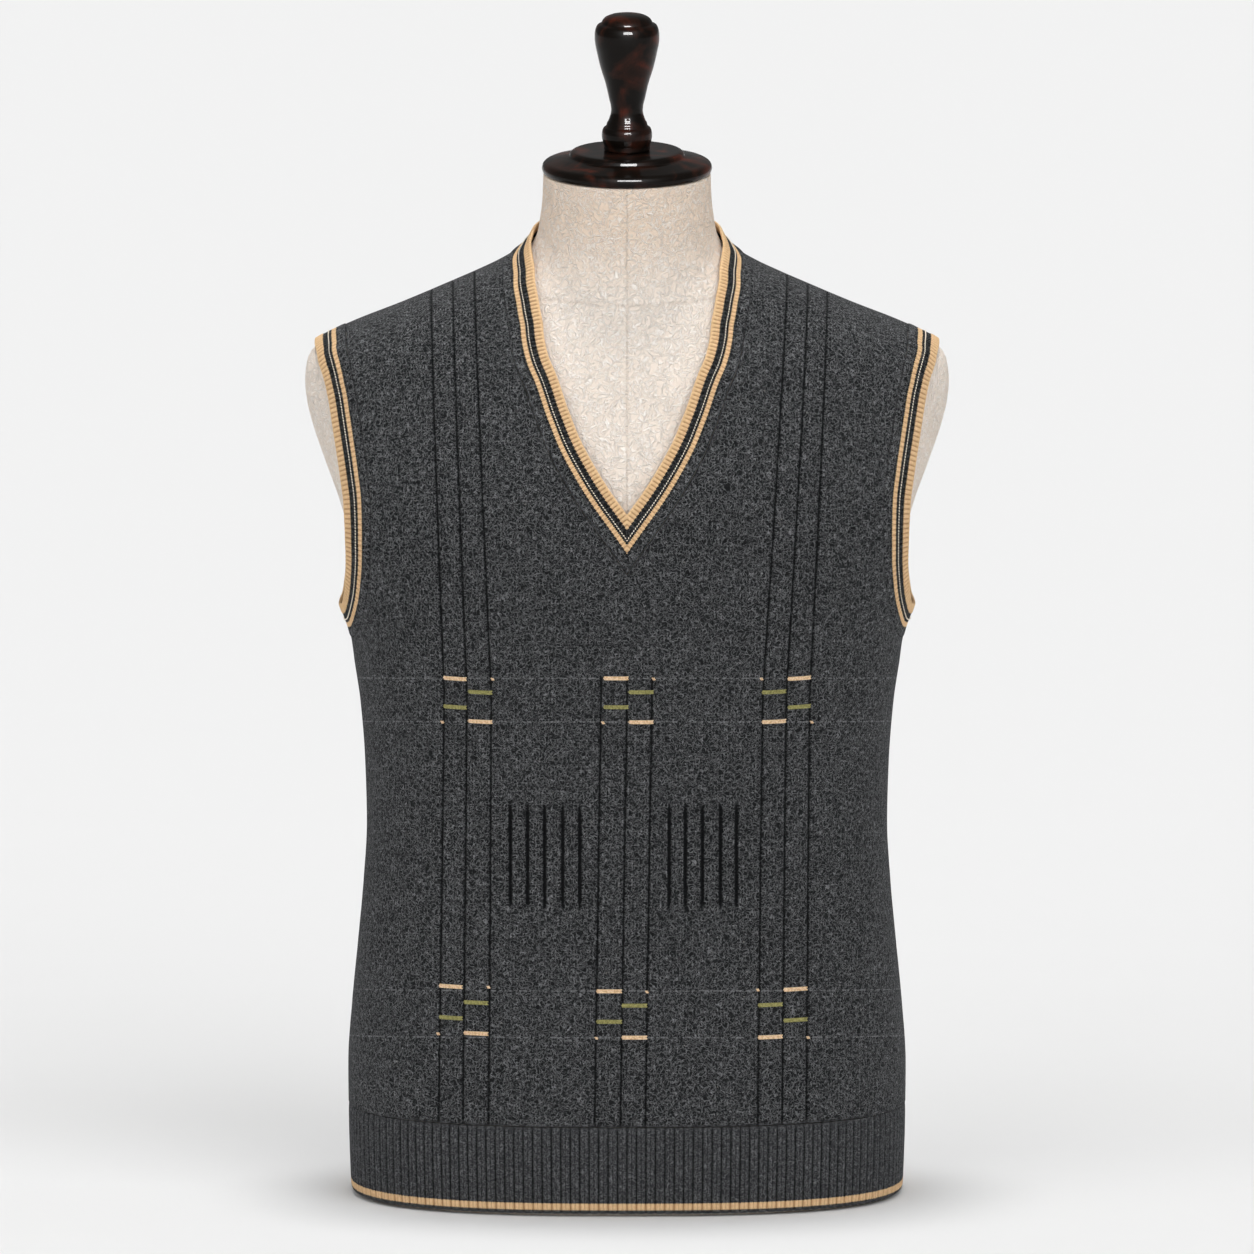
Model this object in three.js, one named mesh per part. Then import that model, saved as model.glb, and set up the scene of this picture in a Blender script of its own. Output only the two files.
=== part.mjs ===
// Knitted V-neck sweater vest, worn by a limbless table-top dress form.
// Millimetres, +Z up, the front faces -Y and the form stands on Z = 0.
import * as THREE from "three";

// Driving dimensions
const WALL = 2.2; // felted knit, face to back
const SEAM_GAP = 0.35; // clearance between neighbouring pieces
const HEM_Z = 2; // lower edge of the vest above the table
const RIB_TOP_Z = 60; // seam between the hem rib and the body
const NECK_BAND = 22.5; // finished width of the neckband
const ARM_EDGE = 17; // striped edge of an armhole band
const ARM_ROOT = 6.5; // plain part of it, next to the panel
const HEM_RIBS = 160; // ribs round the hem
const RIB_HEIGHT = 0.8;
const PIN_GROOVE = { width: 1.4, depth: 0.7 }; // long lines in the front
const TALLY_GROOVE = { width: 2.8, depth: 1.1 }; // short bars in the front
const TALLY_Z = { low: 204, high: 273 };
const CENTRE_LINES_TOP_Z = 359;
const NECK_TILT = 0.07; // forward slope of the neck's top and of its cap
const CAP_Z = 679; // underside of the cap on the neck's axis
const CAP_Y = -12.4;

const QUARTER = Math.PI / 2;

// A short table as rows of named values
const table = (columns, rows) =>
  rows.map((row) => Object.fromEntries(columns.map((name, i) => [name, row[i]])));

// Horizontal rings of the vest's outer face: half width at the side, reach of front
// and back, depth of the side line and squareness of the outline.
const VEST = table(
  ["z", "side", "front", "back", "mid", "square"],
  [
    [0, 182.6, 115, 104, 0, 2.65],
    [45, 184.1, 115, 103.5, 0, 2.6],
    [85, 184.5, 113.5, 101, 0, 2.5],
    [126, 181.8, 110.5, 96, 0, 2.45],
    [166, 177.9, 107.5, 91, 0, 2.4],
    [206, 174.2, 106, 87.5, 0, 2.4],
    [246, 171.9, 106.5, 87, 0, 2.4],
    [286, 172.9, 109.5, 91, 0, 2.4],
    [326, 175.9, 114, 98, 0, 2.35],
    [353, 179.8, 117, 103.5, 0, 2.3],
    [370, 182.2, 118.5, 107, 0, 2.3],
    [392, 189.5, 119.5, 110.5, 0, 2.3],
    [420, 199, 119.5, 113, 1, 2.3],
    [443, 206, 117.5, 114, 2, 2.3],
    [470, 211, 113, 113, 3, 2.25],
    [500, 213.5, 105.5, 109.5, 4, 2.15],
    [525, 215, 97, 104, 5, 2.05],
    [542, 215.8, 90.5, 98.5, 6, 2],
    [552, 214.6, 86, 94.5, 6, 2],
    [559, 211.8, 82.5, 91.2, 7, 2],
    [563.5, 208, 80.2, 89, 7, 2],
    [568, 201, 77.5, 87, 7, 2],
    [577, 182.2, 72.5, 82.3, 7, 2],
    [590.3, 148.5, 66, 76, 7, 2],
    [604, 116.2, 60.2, 71, 7, 2],
    [610.8, 100.5, 58, 69, 7, 2],
    [617.6, 86, 56.8, 67.2, 7, 2],
    [624, 75, 56.6, 65.5, 7, 2],
    [631.3, 66.6, 57.5, 63.5, 4.5, 2],
    [639, 62, 59.5, 61, 1, 2],
    [648, 60.6, 62.5, 57.5, -2, 2],
    [660, 59, 66, 53, -6, 2],
  ],
);

// The same for the dress form's skin, bare at the neck and at the shoulder ends
const FORM = table(
  ["z", "side", "front", "back", "mid", "square"],
  [
    [0, 176.5, 110.5, 99.5, 0, 2.6],
    [12, 178, 110.4, 99.2, 0, 2.6],
    [45, 179.6, 110.4, 98.7, 0, 2.55],
    [85, 180, 108.9, 96.2, 0, 2.45],
    [126, 177.2, 105.9, 91.2, 0, 2.4],
    [166, 173.3, 102.9, 86.2, 0, 2.35],
    [206, 169.6, 101.4, 82.7, 0, 2.4],
    [246, 167.3, 101.9, 82.2, 0, 2.4],
    [286, 168.3, 104.9, 86.2, 0, 2.4],
    [326, 171.3, 109.4, 93.2, 0, 2.35],
    [370, 175.7, 113.7, 101.7, 0, 2.3],
    [405, 177.7, 114.4, 105.7, 1, 2.3],
    [432, 182, 113.7, 108, 2, 2.25],
    [459, 189.1, 110, 107, 3, 2.2],
    [485.8, 198.7, 104, 105, 4, 2.15],
    [512, 207.6, 96, 100.5, 5, 2.05],
    [525.7, 210.9, 91, 97, 5, 2],
    [539, 212.2, 86, 93, 6, 2],
    [552, 210.8, 80.5, 88.5, 6, 2],
    [558, 208.3, 77, 85.8, 7, 2],
    [562, 203.8, 74.8, 83.4, 7, 2],
    [566, 195, 72.6, 81.3, 7, 2],
    [577, 170.4, 67.2, 76.8, 7, 2],
    [590.3, 137.4, 60.8, 70.6, 7, 2],
    [604, 105.5, 55.3, 66, 7, 2],
    [610.8, 90.5, 53.3, 64, 7, 2],
    [617.6, 77.5, 52.3, 62.3, 7, 2],
    [624, 68.4, 52.3, 60.8, 7, 2],
    [631.3, 61.8, 53.5, 59, 4.5, 2],
    [639, 58.6, 55.5, 56.7, 1, 2],
    [648, 57.2, 58.5, 53.2, -2, 2],
    [660, 55.7, 62.2, 49, -6, 2],
    [678, 55, 67.3, 42.5, -12.4, 2],
  ],
);

// Free edge of the neckband, from the point of the V to the centre back
const NECK_EDGE = table(
  ["z", "x"],
  [
    [466.5, 0],
    [480, 9.9],
    [494, 19.1],
    [514, 30.4],
    [531, 37.6],
    [559, 48.2],
    [582.5, 54.8],
    [594, 56.8],
    [604, 58.7],
    [617, 60.7],
    [625, 62],
    [632, 63.4],
  ],
);
const NECK_EDGE_BACK = table(
  ["z", "turn"],
  [
    [639, 0.5],
    [643.5, 0.62],
    [647, 0.76],
    [649.5, 0.88],
    [650.5, 1],
  ],
); // turn as a share of the half circle

// Line between stripes and plain root of an armhole band, underarm to shoulder
const ARM_LINE = table(
  ["z", "x"],
  [
    [380, 181.6],
    [386, 179.6],
    [395.5, 177.3],
    [407, 175.3],
    [427, 173.6],
    [446, 173.4],
    [469.6, 173.9],
    [489, 176.2],
    [507, 178.9],
    [524, 181.6],
    [541, 184.6],
    [556, 188.2],
    [566.5, 190.6],
  ],
);
const ARM_LOW_Z = 377;
const ARM_HIGH_Z = 573;

// Grooves in the front, as x at the hem, the chest and the shoulder
const PIN_LINES = table(
  ["hem", "chest", "shoulder"],
  [
    [-124, -120, -129],
    [-108, -105, -114.5],
    [-91, -89, -100],
    [86, 89, 105],
    [102, 104.5, 119],
    [118, 120, 132],
  ],
);
const CENTRE_LINES = table(
  ["hem", "chest", "shoulder"],
  [
    [-21.3, -17, -17],
    [-4.4, 0, 0],
    [12, 16.3, 16.3],
  ],
);
const TALLY_X = {
  left: [-76.6, -65.3, -54.1, -42.2, -31],
  right: [27.7, 38.3, 49.5, 61.4, 71.9],
};
const PATTERN_Z = { hem: 60, chest: 345, shoulder: 600 };

// Cross sections of the bands: distance from the free edge and rise off the face
const NECK_PROFILE = table(
  ["across", "rise"],
  [
    [22.5, 0],
    [15, 0.2],
    [5.5, 0.3],
    [4.6, 0.7],
    [1.2, 0.7],
    [0, 0.1],
  ],
);
const ARM_PROFILE = table(
  ["across", "rise"],
  [
    [23.5, 0],
    [17, 0.2],
    [8, 0.3],
    [7, 0.9],
    [1.3, 0.9],
    [0, 0.1],
  ],
);

// Monotone cubic through one column of a table
function column(rows, key) {
  const z = rows.map((row) => row.z);
  const v = rows.map((row) => row[key]);
  const step = z.slice(1).map((next, i) => (v[i + 1] - v[i]) / (next - z[i]));
  const slope = v.map((_, i) => {
    if (i === 0) return step[0];
    if (i === v.length - 1) return step[i - 1];
    const [a, b] = [step[i - 1], step[i]];
    return a * b <= 0 ? 0 : (2 * a * b) / (a + b);
  });
  return (at) => {
    let i = 0;
    while (i < z.length - 2 && at > z[i + 1]) i++;
    const h = z[i + 1] - z[i];
    const t = (at - z[i]) / h;
    if (t < 0) return v[0] + slope[0] * (at - z[0]);
    if (t > 1) return v[i + 1] + slope[i + 1] * (at - z[i + 1]);
    const s = 1 - t;
    return (
      v[i] * (1 + 2 * t) * s * s +
      v[i + 1] * t * t * (3 - 2 * t) +
      h * (slope[i] * t * s * s - slope[i + 1] * t * t * s)
    );
  };
}

// A skin through the rings of a table. `turn` runs from 0 at the centre front through a
// quarter circle at the side seam, and on to a half circle at the centre back.
function skin(rows) {
  const side = column(rows, "side");
  const front = column(rows, "front");
  const back = column(rows, "back");
  const mid = column(rows, "mid");
  const square = column(rows, "square");
  const at = (turn, z) => {
    const s = Math.sin(turn);
    const n = square(z);
    const lean = Math.max(0, 1 - Math.abs(s) ** n) ** (1 / n);
    const reach = Math.cos(turn) > 0 ? -front(z) - mid(z) : back(z) - mid(z);
    return new THREE.Vector3(side(z) * s, mid(z) + reach * lean, z);
  };
  at.side = side;
  return at;
}

const vest = skin(VEST);
const form = skin(FORM);

const TURN_STEP = 0.01;
const Z_STEP = 0.4;

function slopes(face, turn, z) {
  return {
    round: face(turn + TURN_STEP, z)
      .sub(face(turn - TURN_STEP, z))
      .divideScalar(2 * TURN_STEP),
    up: face(turn, z + Z_STEP)
      .sub(face(turn, z - Z_STEP))
      .divideScalar(2 * Z_STEP),
  };
}

function outward(face, turn, z) {
  const { round, up } = slopes(face, turn, z);
  return round.cross(up).normalize();
}

// Walk over a face for a distance, square to `along`, setting out towards `heading`
function walk(face, start, along, heading, distance) {
  let { turn, z } = start;
  let last = heading;
  const steps = Math.max(1, Math.ceil(distance / 1.5));
  for (let i = 0; i < steps; i++) {
    const { round, up } = slopes(face, turn, z);
    const dTurn = up.dot(along);
    const dZ = -round.dot(along);
    const move = round.multiplyScalar(dTurn).add(up.multiplyScalar(dZ));
    const scale = ((distance / steps) * Math.sign(move.dot(last))) / move.length();
    turn += dTurn * scale;
    z += dZ * scale;
    last = move.multiplyScalar(scale);
  }
  return { turn, z };
}

// A curve on the face through places given as {turn, z}
function lineThrough(places, closed) {
  const knots = places.map((p) => new THREE.Vector3(p.turn * 160, p.z, 0));
  const curve = new THREE.CatmullRomCurve3(knots, closed, "centripetal");
  curve.arcLengthDivisions = 600;
  return (share) => {
    const p = curve.getPointAt(closed ? share - Math.floor(share) : share);
    return { turn: p.x / 160, z: p.y };
  };
}

const onFront = ({ z, x }) => ({ turn: Math.asin(Math.min(1, x / vest.side(z))), z });
const mirrored = (p) => ({ turn: Math.PI - p.turn, z: p.z });

// Direction of a line on the face, and the way off to its right-hand side
function frameAt(line, share) {
  const h = 0.002;
  const [a, b] = [line(share - h), line(share + h)];
  const along = vest(b.turn, b.z).sub(vest(a.turn, a.z)).normalize();
  const here = line(share);
  const normal = outward(vest, here.turn, here.z);
  return { here, along, off: along.clone().cross(normal).normalize() };
}

// Neckband: its free edge, straight on past the point of the V, and offsets of it
const neckEdge = (() => {
  const half = lineThrough(
    [
      ...NECK_EDGE.map(onFront),
      ...NECK_EDGE_BACK.map((row) => ({ turn: row.turn * Math.PI, z: row.z })),
    ],
    false,
  );
  const foot = half(0);
  const near = half(0.02);
  return (share) => {
    if (share >= 0 && share <= 1) return half(share);
    if (share > 1) {
      const p = half(2 - share);
      return { turn: 2 * Math.PI - p.turn, z: p.z };
    }
    const k = share / 0.02;
    return { turn: foot.turn + (near.turn - foot.turn) * k, z: foot.z + (near.z - foot.z) * k };
  };
})();

function neckOffset(share, across) {
  const { here, along, off } = frameAt(neckEdge, share);
  return walk(vest, here, along, off, across);
}

// Where an offset of the edge meets the centre front
function mitre(across) {
  if (across === 0) return neckEdge(0);
  let [low, high] = [-0.3, 0.2];
  for (let i = 0; i < 30; i++) {
    const middle = (low + high) / 2;
    if (neckOffset(middle, across).turn < 0) low = middle;
    else high = middle;
  }
  return { turn: 0, z: neckOffset(high, across).z };
}

// Armhole line of the right side: up the front from the underarm, down the back
const armLine = (() => {
  const climb = ARM_LINE.map(onFront);
  return lineThrough(
    [
      { turn: QUARTER, z: ARM_LOW_Z },
      ...climb,
      { turn: QUARTER, z: ARM_HIGH_Z },
      ...climb.map(mirrored).reverse(),
    ],
    true,
  );
})();

// Place at a distance outside the armhole line (to the panel) or inside it
function armOffset(share, toPanel) {
  const { here, along, off } = frameAt(armLine, share);
  return walk(vest, here, along, toPanel > 0 ? off.negate() : off, Math.abs(toPanel));
}

// Triangles between two runs of points, `low` under `high` as seen from outside.
// Runs of equal count are joined point to point, by the shorter diagonal of each cell.
function zip(out, low, high, flip) {
  const even = low.length === high.length;
  let [i, j] = [0, 0];
  while (i < low.length - 1 || j < high.length - 1) {
    const shorter = () =>
      even && i !== j ? i < j : low[i + 1].distanceTo(high[j]) <= low[i].distanceTo(high[j + 1]);
    const stepLow = j === high.length - 1 || (i < low.length - 1 && shorter());
    const face = stepLow ? [low[i], low[++i], high[j]] : [low[i], high[j + 1], high[j++]];
    out.push(flip ? face.reverse() : face);
  }
}

// Rows whose `anchors` name the columns that must meet each other
function zipRows(out, low, high, flip) {
  const cuts = (row) => [0, ...(row.anchors ?? []), row.length - 1];
  const [a, b] = [cuts(low), cuts(high)];
  for (let k = 0; k + 1 < a.length; k++) {
    zip(out, low.slice(a[k], a[k + 1] + 1), high.slice(b[k], b[k + 1] + 1), flip);
  }
}

function mesh(name, faces, colour, roughness = 0.95) {
  const values = faces
    .filter(([a, b, c]) => !a.equals(b) && !b.equals(c) && !c.equals(a))
    .flatMap((face) => face.flatMap((p) => [p.x, p.y, p.z]));
  const geometry = new THREE.BufferGeometry();
  geometry.setAttribute("position", new THREE.Float32BufferAttribute(values, 3));
  geometry.computeVertexNormals();
  const material = new THREE.MeshStandardMaterial({ color: colour, roughness });
  const made = new THREE.Mesh(geometry, material);
  made.name = name;
  return made;
}

// A sheet of cloth with a plain back: outer and inner rows of points, bottom to top.
// Its left side is bare from the rows given; before them it joins its other half.
function wall(out, outer, inner, flip, bareOuter = 0, bareInner = 0) {
  for (let r = 0; r + 1 < outer.length; r++) zipRows(out, outer[r], outer[r + 1], flip);
  for (let r = 0; r + 1 < inner.length; r++) zip(out, inner[r], inner[r + 1], !flip);
  zip(out, inner[0], outer[0], flip);
  zip(out, outer.at(-1), inner.at(-1), flip);
  const first = (row) => row[0];
  const last = (row) => row.at(-1);
  zip(out, inner.map(last), outer.map(last), flip);
  zip(out, outer.slice(bareOuter).map(first), inner.slice(bareInner).map(first), flip);
}

// A closed tube of cloth round an opening, from loops that run the same way
function ringWall(out, outer, inner, flip) {
  for (let r = 0; r + 1 < outer.length; r++) zip(out, outer[r], outer[r + 1], flip);
  for (let r = 0; r + 1 < inner.length; r++) zip(out, inner[r], inner[r + 1], !flip);
  zip(out, inner[0], outer[0], flip);
  zip(out, outer.at(-1), inner.at(-1), flip);
}

// Seam places shared by the panels and the bands
const SHOULDER_SHARE = 0.5; // of the armhole line
const ARM_STEPS = 17; // along half an armhole
const APEX_ROW = 5; // rows from the underarm to the point of the V
const NECK_STEPS = 8; // along the back neck, from the shoulder
const neckShoulderShare = (() => {
  let [low, high] = [0.2, 0.9];
  for (let i = 0; i < 40; i++) {
    const middle = (low + high) / 2;
    if (neckOffset(middle, NECK_BAND).turn < QUARTER) low = middle;
    else high = middle;
  }
  return low;
})();
const NECK_FIRST_SHARE = 0.045; // first square line of the band beside the mitre
const frontNeckShares = Array.from(
  { length: ARM_STEPS - APEX_ROW },
  (_, i) =>
    NECK_FIRST_SHARE +
    ((neckShoulderShare - NECK_FIRST_SHARE) * i) / (ARM_STEPS - APEX_ROW - 1),
);
const backNeckShares = Array.from(
  { length: NECK_STEPS },
  (_, i) => neckShoulderShare + ((1 - neckShoulderShare) * (i + 1)) / NECK_STEPS,
);

// A row's end on a band's seam, moved back by half of the gap
function neckSeam(share) {
  const { off } = frameAt(neckEdge, share);
  return { ...neckOffset(share, NECK_BAND), shift: off.multiplyScalar(SEAM_GAP / 2) };
}
function armSeam(share) {
  const { off } = frameAt(armLine, share);
  return { ...armOffset(share, ARM_ROOT), shift: off.multiplyScalar(-SEAM_GAP / 2) };
}
const still = new THREE.Vector3();

// Half of the gap at the point of the V, where the seam runs aslant
function mitreShift(direction) {
  const slant = (mitre(0).z - mitre(NECK_BAND).z) / NECK_BAND;
  return new THREE.Vector3(0, 0, (direction * slant * SEAM_GAP) / 2);
}

// x of a pattern line at a height
function lineX(line, z) {
  const { hem, chest, shoulder } = PATTERN_Z;
  if (z < chest) return line.hem + ((line.chest - line.hem) * (z - hem)) / (chest - hem);
  return line.chest + ((line.shoulder - line.chest) * (z - chest)) / (shoulder - chest);
}

// Ends of the rows of a half panel, hem to shoulder
function panelEnds(side, isFront) {
  const edgeTurn = side * QUARTER;
  const seamShift = new THREE.Vector3(0, isFront ? -SEAM_GAP / 2 : SEAM_GAP / 2, 0);
  const centre = (z) =>
    isFront
      ? { turn: Math.asin(lineX(CENTRE_LINES[1], z) / vest.side(z)), z }
      : { turn: side * Math.PI, z };
  const bars = [TALLY_Z.low - 2, TALLY_Z.low, TALLY_Z.high, TALLY_Z.high + 2];
  const top = [CENTRE_LINES_TOP_Z, CENTRE_LINES_TOP_Z + 2];
  const heights = isFront
    ? [84, 112, 142, 172, ...bars, 300, 328, ...top]
    : [98, 138, 178, 218, 258, 298, 334];
  const rows = [RIB_TOP_Z + SEAM_GAP / 2, ...heights].map((z) => ({
    from: { ...centre(z), shift: still },
    to: { turn: edgeTurn, z, shift: seamShift },
  }));
  const armShare = (k) => (isFront ? k / ARM_STEPS : 2 - k / ARM_STEPS) * SHOULDER_SHARE;
  const low = armSeam(armShare(0)).z;
  const apexZ = isFront ? mitre(NECK_BAND).z : neckSeam(1).z;
  const apexRow = isFront ? APEX_ROW : ARM_STEPS - NECK_STEPS;
  const turned = (p) => new THREE.Vector3(side * p.x, p.y, p.z);
  for (let k = 0; k <= ARM_STEPS; k++) {
    const seam = armSeam(armShare(k));
    const atSide = k === 0 || k === ARM_STEPS;
    const to = { turn: atSide ? edgeTurn : side * seam.turn, z: seam.z, shift: turned(seam.shift) };
    if (atSide) to.shift.add(seamShift);
    let from;
    if (k <= apexRow) {
      from = { ...centre(low + ((apexZ - low) * k) / apexRow), shift: still };
      if (k === apexRow) from.shift = isFront ? mitreShift(-1) : neckSeam(1).shift;
    } else {
      const share = isFront
        ? frontNeckShares[k - apexRow - 1]
        : backNeckShares[NECK_STEPS - 1 - (k - apexRow)] ?? neckShoulderShare;
      const neck = neckSeam(share);
      const atTop = k === ARM_STEPS;
      from = { turn: atTop ? edgeTurn : side * neck.turn, z: neck.z, shift: turned(neck.shift) };
      if (atTop) from.shift.add(seamShift);
    }
    const shift = k === ARM_STEPS ? seamShift : still;
    rows.push({ from, to, shift, bare: from.shift !== still });
  }
  return rows;
}

function rowPoint(row, u, rise) {
  const turn = row.from.turn + (row.to.turn - row.from.turn) * u;
  const z = row.from.z + (row.to.z - row.from.z) * u;
  const ridge = Math.abs(Math.abs(turn) - QUARTER) < 1e-9;
  const point = vest(turn, z).addScaledVector(outward(vest, turn, z), rise);
  if (u === 0) point.add(row.from.shift);
  else if (u === 1) point.add(row.to.shift);
  else if (ridge && row.shift) point.add(row.shift);
  return point;
}

// Share of a row at which it reaches x
function shareAtX(row, x) {
  let [low, high] = [0, 1];
  for (let i = 0; i < 40; i++) {
    const middle = (low + high) / 2;
    if (Math.abs(rowPoint(row, middle, 0).x) < Math.abs(x)) low = middle;
    else high = middle;
  }
  return low;
}

// Columns stand closer together towards the side, where the skin turns fastest
const tighten = (share) => 1 - (1 - share) ** 1.35;

// Outer points of one row of the front, with its grooves
function grooved(row, side) {
  const z = row.from.z;
  const stops = [];
  const cut = (x, groove, full) => {
    for (const [dx, depth] of [
      [-side * groove.width * 0.5, 0],
      [0, full ? groove.depth : 0],
      [side * groove.width * 0.5, 0],
    ])
      stops.push([shareAtX(row, x + dx), -depth]);
  };
  const plain = (from, to, count) => {
    for (let i = 1; i <= count; i++) stops.push([from + ((to - from) * i) / (count + 1), 0]);
  };
  const own = (line) => side * line.chest > 1;
  const anchors = [0];
  if (z <= CENTRE_LINES_TOP_Z + 2) {
    const deep = z <= CENTRE_LINES_TOP_Z;
    stops.push([0, deep ? -PIN_GROOVE.depth : 0]);
    stops.push([shareAtX(row, lineX(CENTRE_LINES[1], z) + side * PIN_GROOVE.width * 0.5), 0]);
    for (const line of CENTRE_LINES.filter(own)) cut(lineX(line, z), PIN_GROOVE, deep);
    anchors[0] = stops.length - 1;
    const barred = z >= TALLY_Z.low && z <= TALLY_Z.high;
    const near = z >= TALLY_Z.low - 2 && z <= TALLY_Z.high + 2;
    const bars = [...TALLY_X[side < 0 ? "left" : "right"]].sort((a, b) => side * (a - b));
    if (near) for (const x of bars) cut(x, TALLY_GROOVE, barred);
    else plain(shareAtX(row, side * 17.5), shareAtX(row, side * 86), 3);
  } else {
    stops.push([0, 0]);
    const nearest = Math.min(...PIN_LINES.filter(own).map((line) => Math.abs(lineX(line, z))));
    const inner = shareAtX(row, nearest - PIN_GROOVE.width);
    const span = Math.abs(rowPoint(row, inner, 0).x - rowPoint(row, 0, 0).x);
    plain(0, inner, Math.round(span / 24));
  }
  const lines = PIN_LINES.filter(own).sort((a, b) => side * (a.chest - b.chest));
  anchors.push(stops.length);
  for (const line of lines) {
    let share = 0.5;
    for (let i = 0; i < 12; i++) share = shareAtX(row, lineX(line, rowPoint(row, share, 0).z));
    cut(rowPoint(row, share, 0).x, PIN_GROOVE, true);
  }
  anchors.push(stops.length - 1);
  const last = stops.at(-1)[0];
  for (let i = 1; i <= 4; i++) stops.push([last + (1 - last) * tighten(i / 5), 0]);
  stops.push([1, 0]);
  const points = stops.map(([u, rise]) => rowPoint(row, u, rise));
  points.anchors = anchors;
  return points;
}

function panel(name, isFront) {
  const faces = [];
  for (const side of [1, -1]) {
    const rows = panelEnds(side, isFront);
    const even = (row, count, rise) =>
      Array.from({ length: count + 1 }, (_, i) => rowPoint(row, tighten(i / count), rise));
    const outer = rows.map((row) => (isFront ? grooved(row, side) : even(row, 11, 0)));
    const apex = rows.findIndex((row) => row.bare);
    const underarm = rows.length - 1 - ARM_STEPS;
    const kept = rows.filter((row, r) => r === 0 || r >= underarm || (underarm - r) % 2 === 0);
    const inner = kept.map((row) => even(row, 11, -WALL));
    wall(faces, outer, inner, (side < 0) === isFront, apex, kept.indexOf(rows[apex]));
  }
  return mesh(name, faces, 0x3c3c3e);
}

// Ribbed hem: a half tube whose outer points rise and fall with the ribs
function hem(name, isFront) {
  const faces = [];
  const ribs = HEM_RIBS / 2;
  const start = isFront ? -QUARTER : QUARTER;
  const top = RIB_TOP_Z - SEAM_GAP / 2;
  const point = (share, z, rise) => {
    const turn = start + Math.PI * share;
    const p = vest(turn, z).addScaledVector(outward(vest, turn, z), rise);
    if (share === 0 || share === 1) p.y += isFront ? -SEAM_GAP / 2 : SEAM_GAP / 2;
    return p;
  };
  // Ribs stand at even distances, so shares are spread by arc length
  const fine = Array.from({ length: 721 }, (_, i) => point(i / 720, 30, 0));
  const run = [0];
  for (let i = 1; i < fine.length; i++) run.push(run[i - 1] + fine[i].distanceTo(fine[i - 1]));
  const shareOf = (part) => {
    const goal = part * run.at(-1);
    let i = 1;
    while (i < 720 && run[i] < goal) i++;
    return (i - 1 + (goal - run[i - 1]) / (run[i] - run[i - 1])) / 720;
  };
  const stops = [[0, 0]];
  for (let k = 0; k < ribs; k++) {
    if (k > 0) stops.push([k / ribs, -RIB_HEIGHT]);
    stops.push([(k + 0.28) / ribs, 0], [(k + 0.72) / ribs, 0]);
  }
  stops.push([1, 0]);
  const shares = stops.map(([part, rise]) => [Math.min(1, shareOf(part)), rise]);
  const ribRow = (z, depth, sink) =>
    shares.map(([share, rise]) => point(share, z, rise * depth - sink));
  const outer = [
    ribRow(HEM_Z, 0.5, 0.9),
    ribRow(HEM_Z + 3.4, 1, 0),
    ribRow(top - 2, 1, 0),
    ribRow(top, 0.4, 0.5),
  ];
  const count = Math.round(run.at(-1) / 17);
  const plainRow = (z) =>
    Array.from({ length: count + 1 }, (_, i) =>
      point(Math.min(1, shareOf(i / count)), z, -WALL - 0.3),
    );
  wall(faces, outer, [plainRow(HEM_Z), plainRow(top)], false);
  return mesh(name, faces, 0x39393b);
}

// A band over the face, its profile running from the seam to the free edge
function band(name, place, profile, columns, flip, side = 1) {
  const faces = [];
  const loop = (across, rise, gap) => {
    const points = columns.map((c) => {
      const p = place(c, across);
      const point = vest(p.turn, p.z).addScaledVector(outward(vest, p.turn, p.z), rise);
      if (gap) point.add(p.shift);
      point.x *= side;
      return point;
    });
    return [...points, points[0]];
  };
  const outer = profile.map((row, i) => loop(row.across, row.rise, i === 0));
  const back = [profile[0], profile[1], profile[2], profile.at(-1)];
  const inner = back.map((row, i) => loop(row.across, -WALL, i === 0));
  ringWall(faces, outer, inner, flip);
  return mesh(name, faces, 0x3a3a3c);
}

function neckband() {
  const half = [...frontNeckShares, ...backNeckShares];
  const columns = [
    { mitre: true },
    ...half.map((share) => ({ share, side: 1 })),
    ...half.slice(0, -1).reverse().map((share) => ({ share, side: -1 })),
  ];
  const place = (c, across) => {
    if (c.mitre) return { ...mitre(across), shift: mitreShift(1) };
    const p = neckOffset(c.share, across);
    const { off } = frameAt(neckEdge, c.share);
    const shift = off.multiplyScalar(-SEAM_GAP / 2);
    shift.x *= c.side;
    return { turn: c.side * p.turn, z: p.z, shift };
  };
  return band("neckband", place, NECK_PROFILE, columns, false);
}

function armholeBand(name, side) {
  const columns = Array.from({ length: 2 * ARM_STEPS }, (_, i) => ({
    share: (i / ARM_STEPS) * SHOULDER_SHARE,
  }));
  const place = ({ share }, across) => {
    const p = armOffset(share, across - ARM_EDGE);
    const { off } = frameAt(armLine, share);
    return { ...p, shift: off.multiplyScalar(SEAM_GAP / 2) };
  };
  return band(name, place, ARM_PROFILE, columns, side > 0, side);
}

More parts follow.
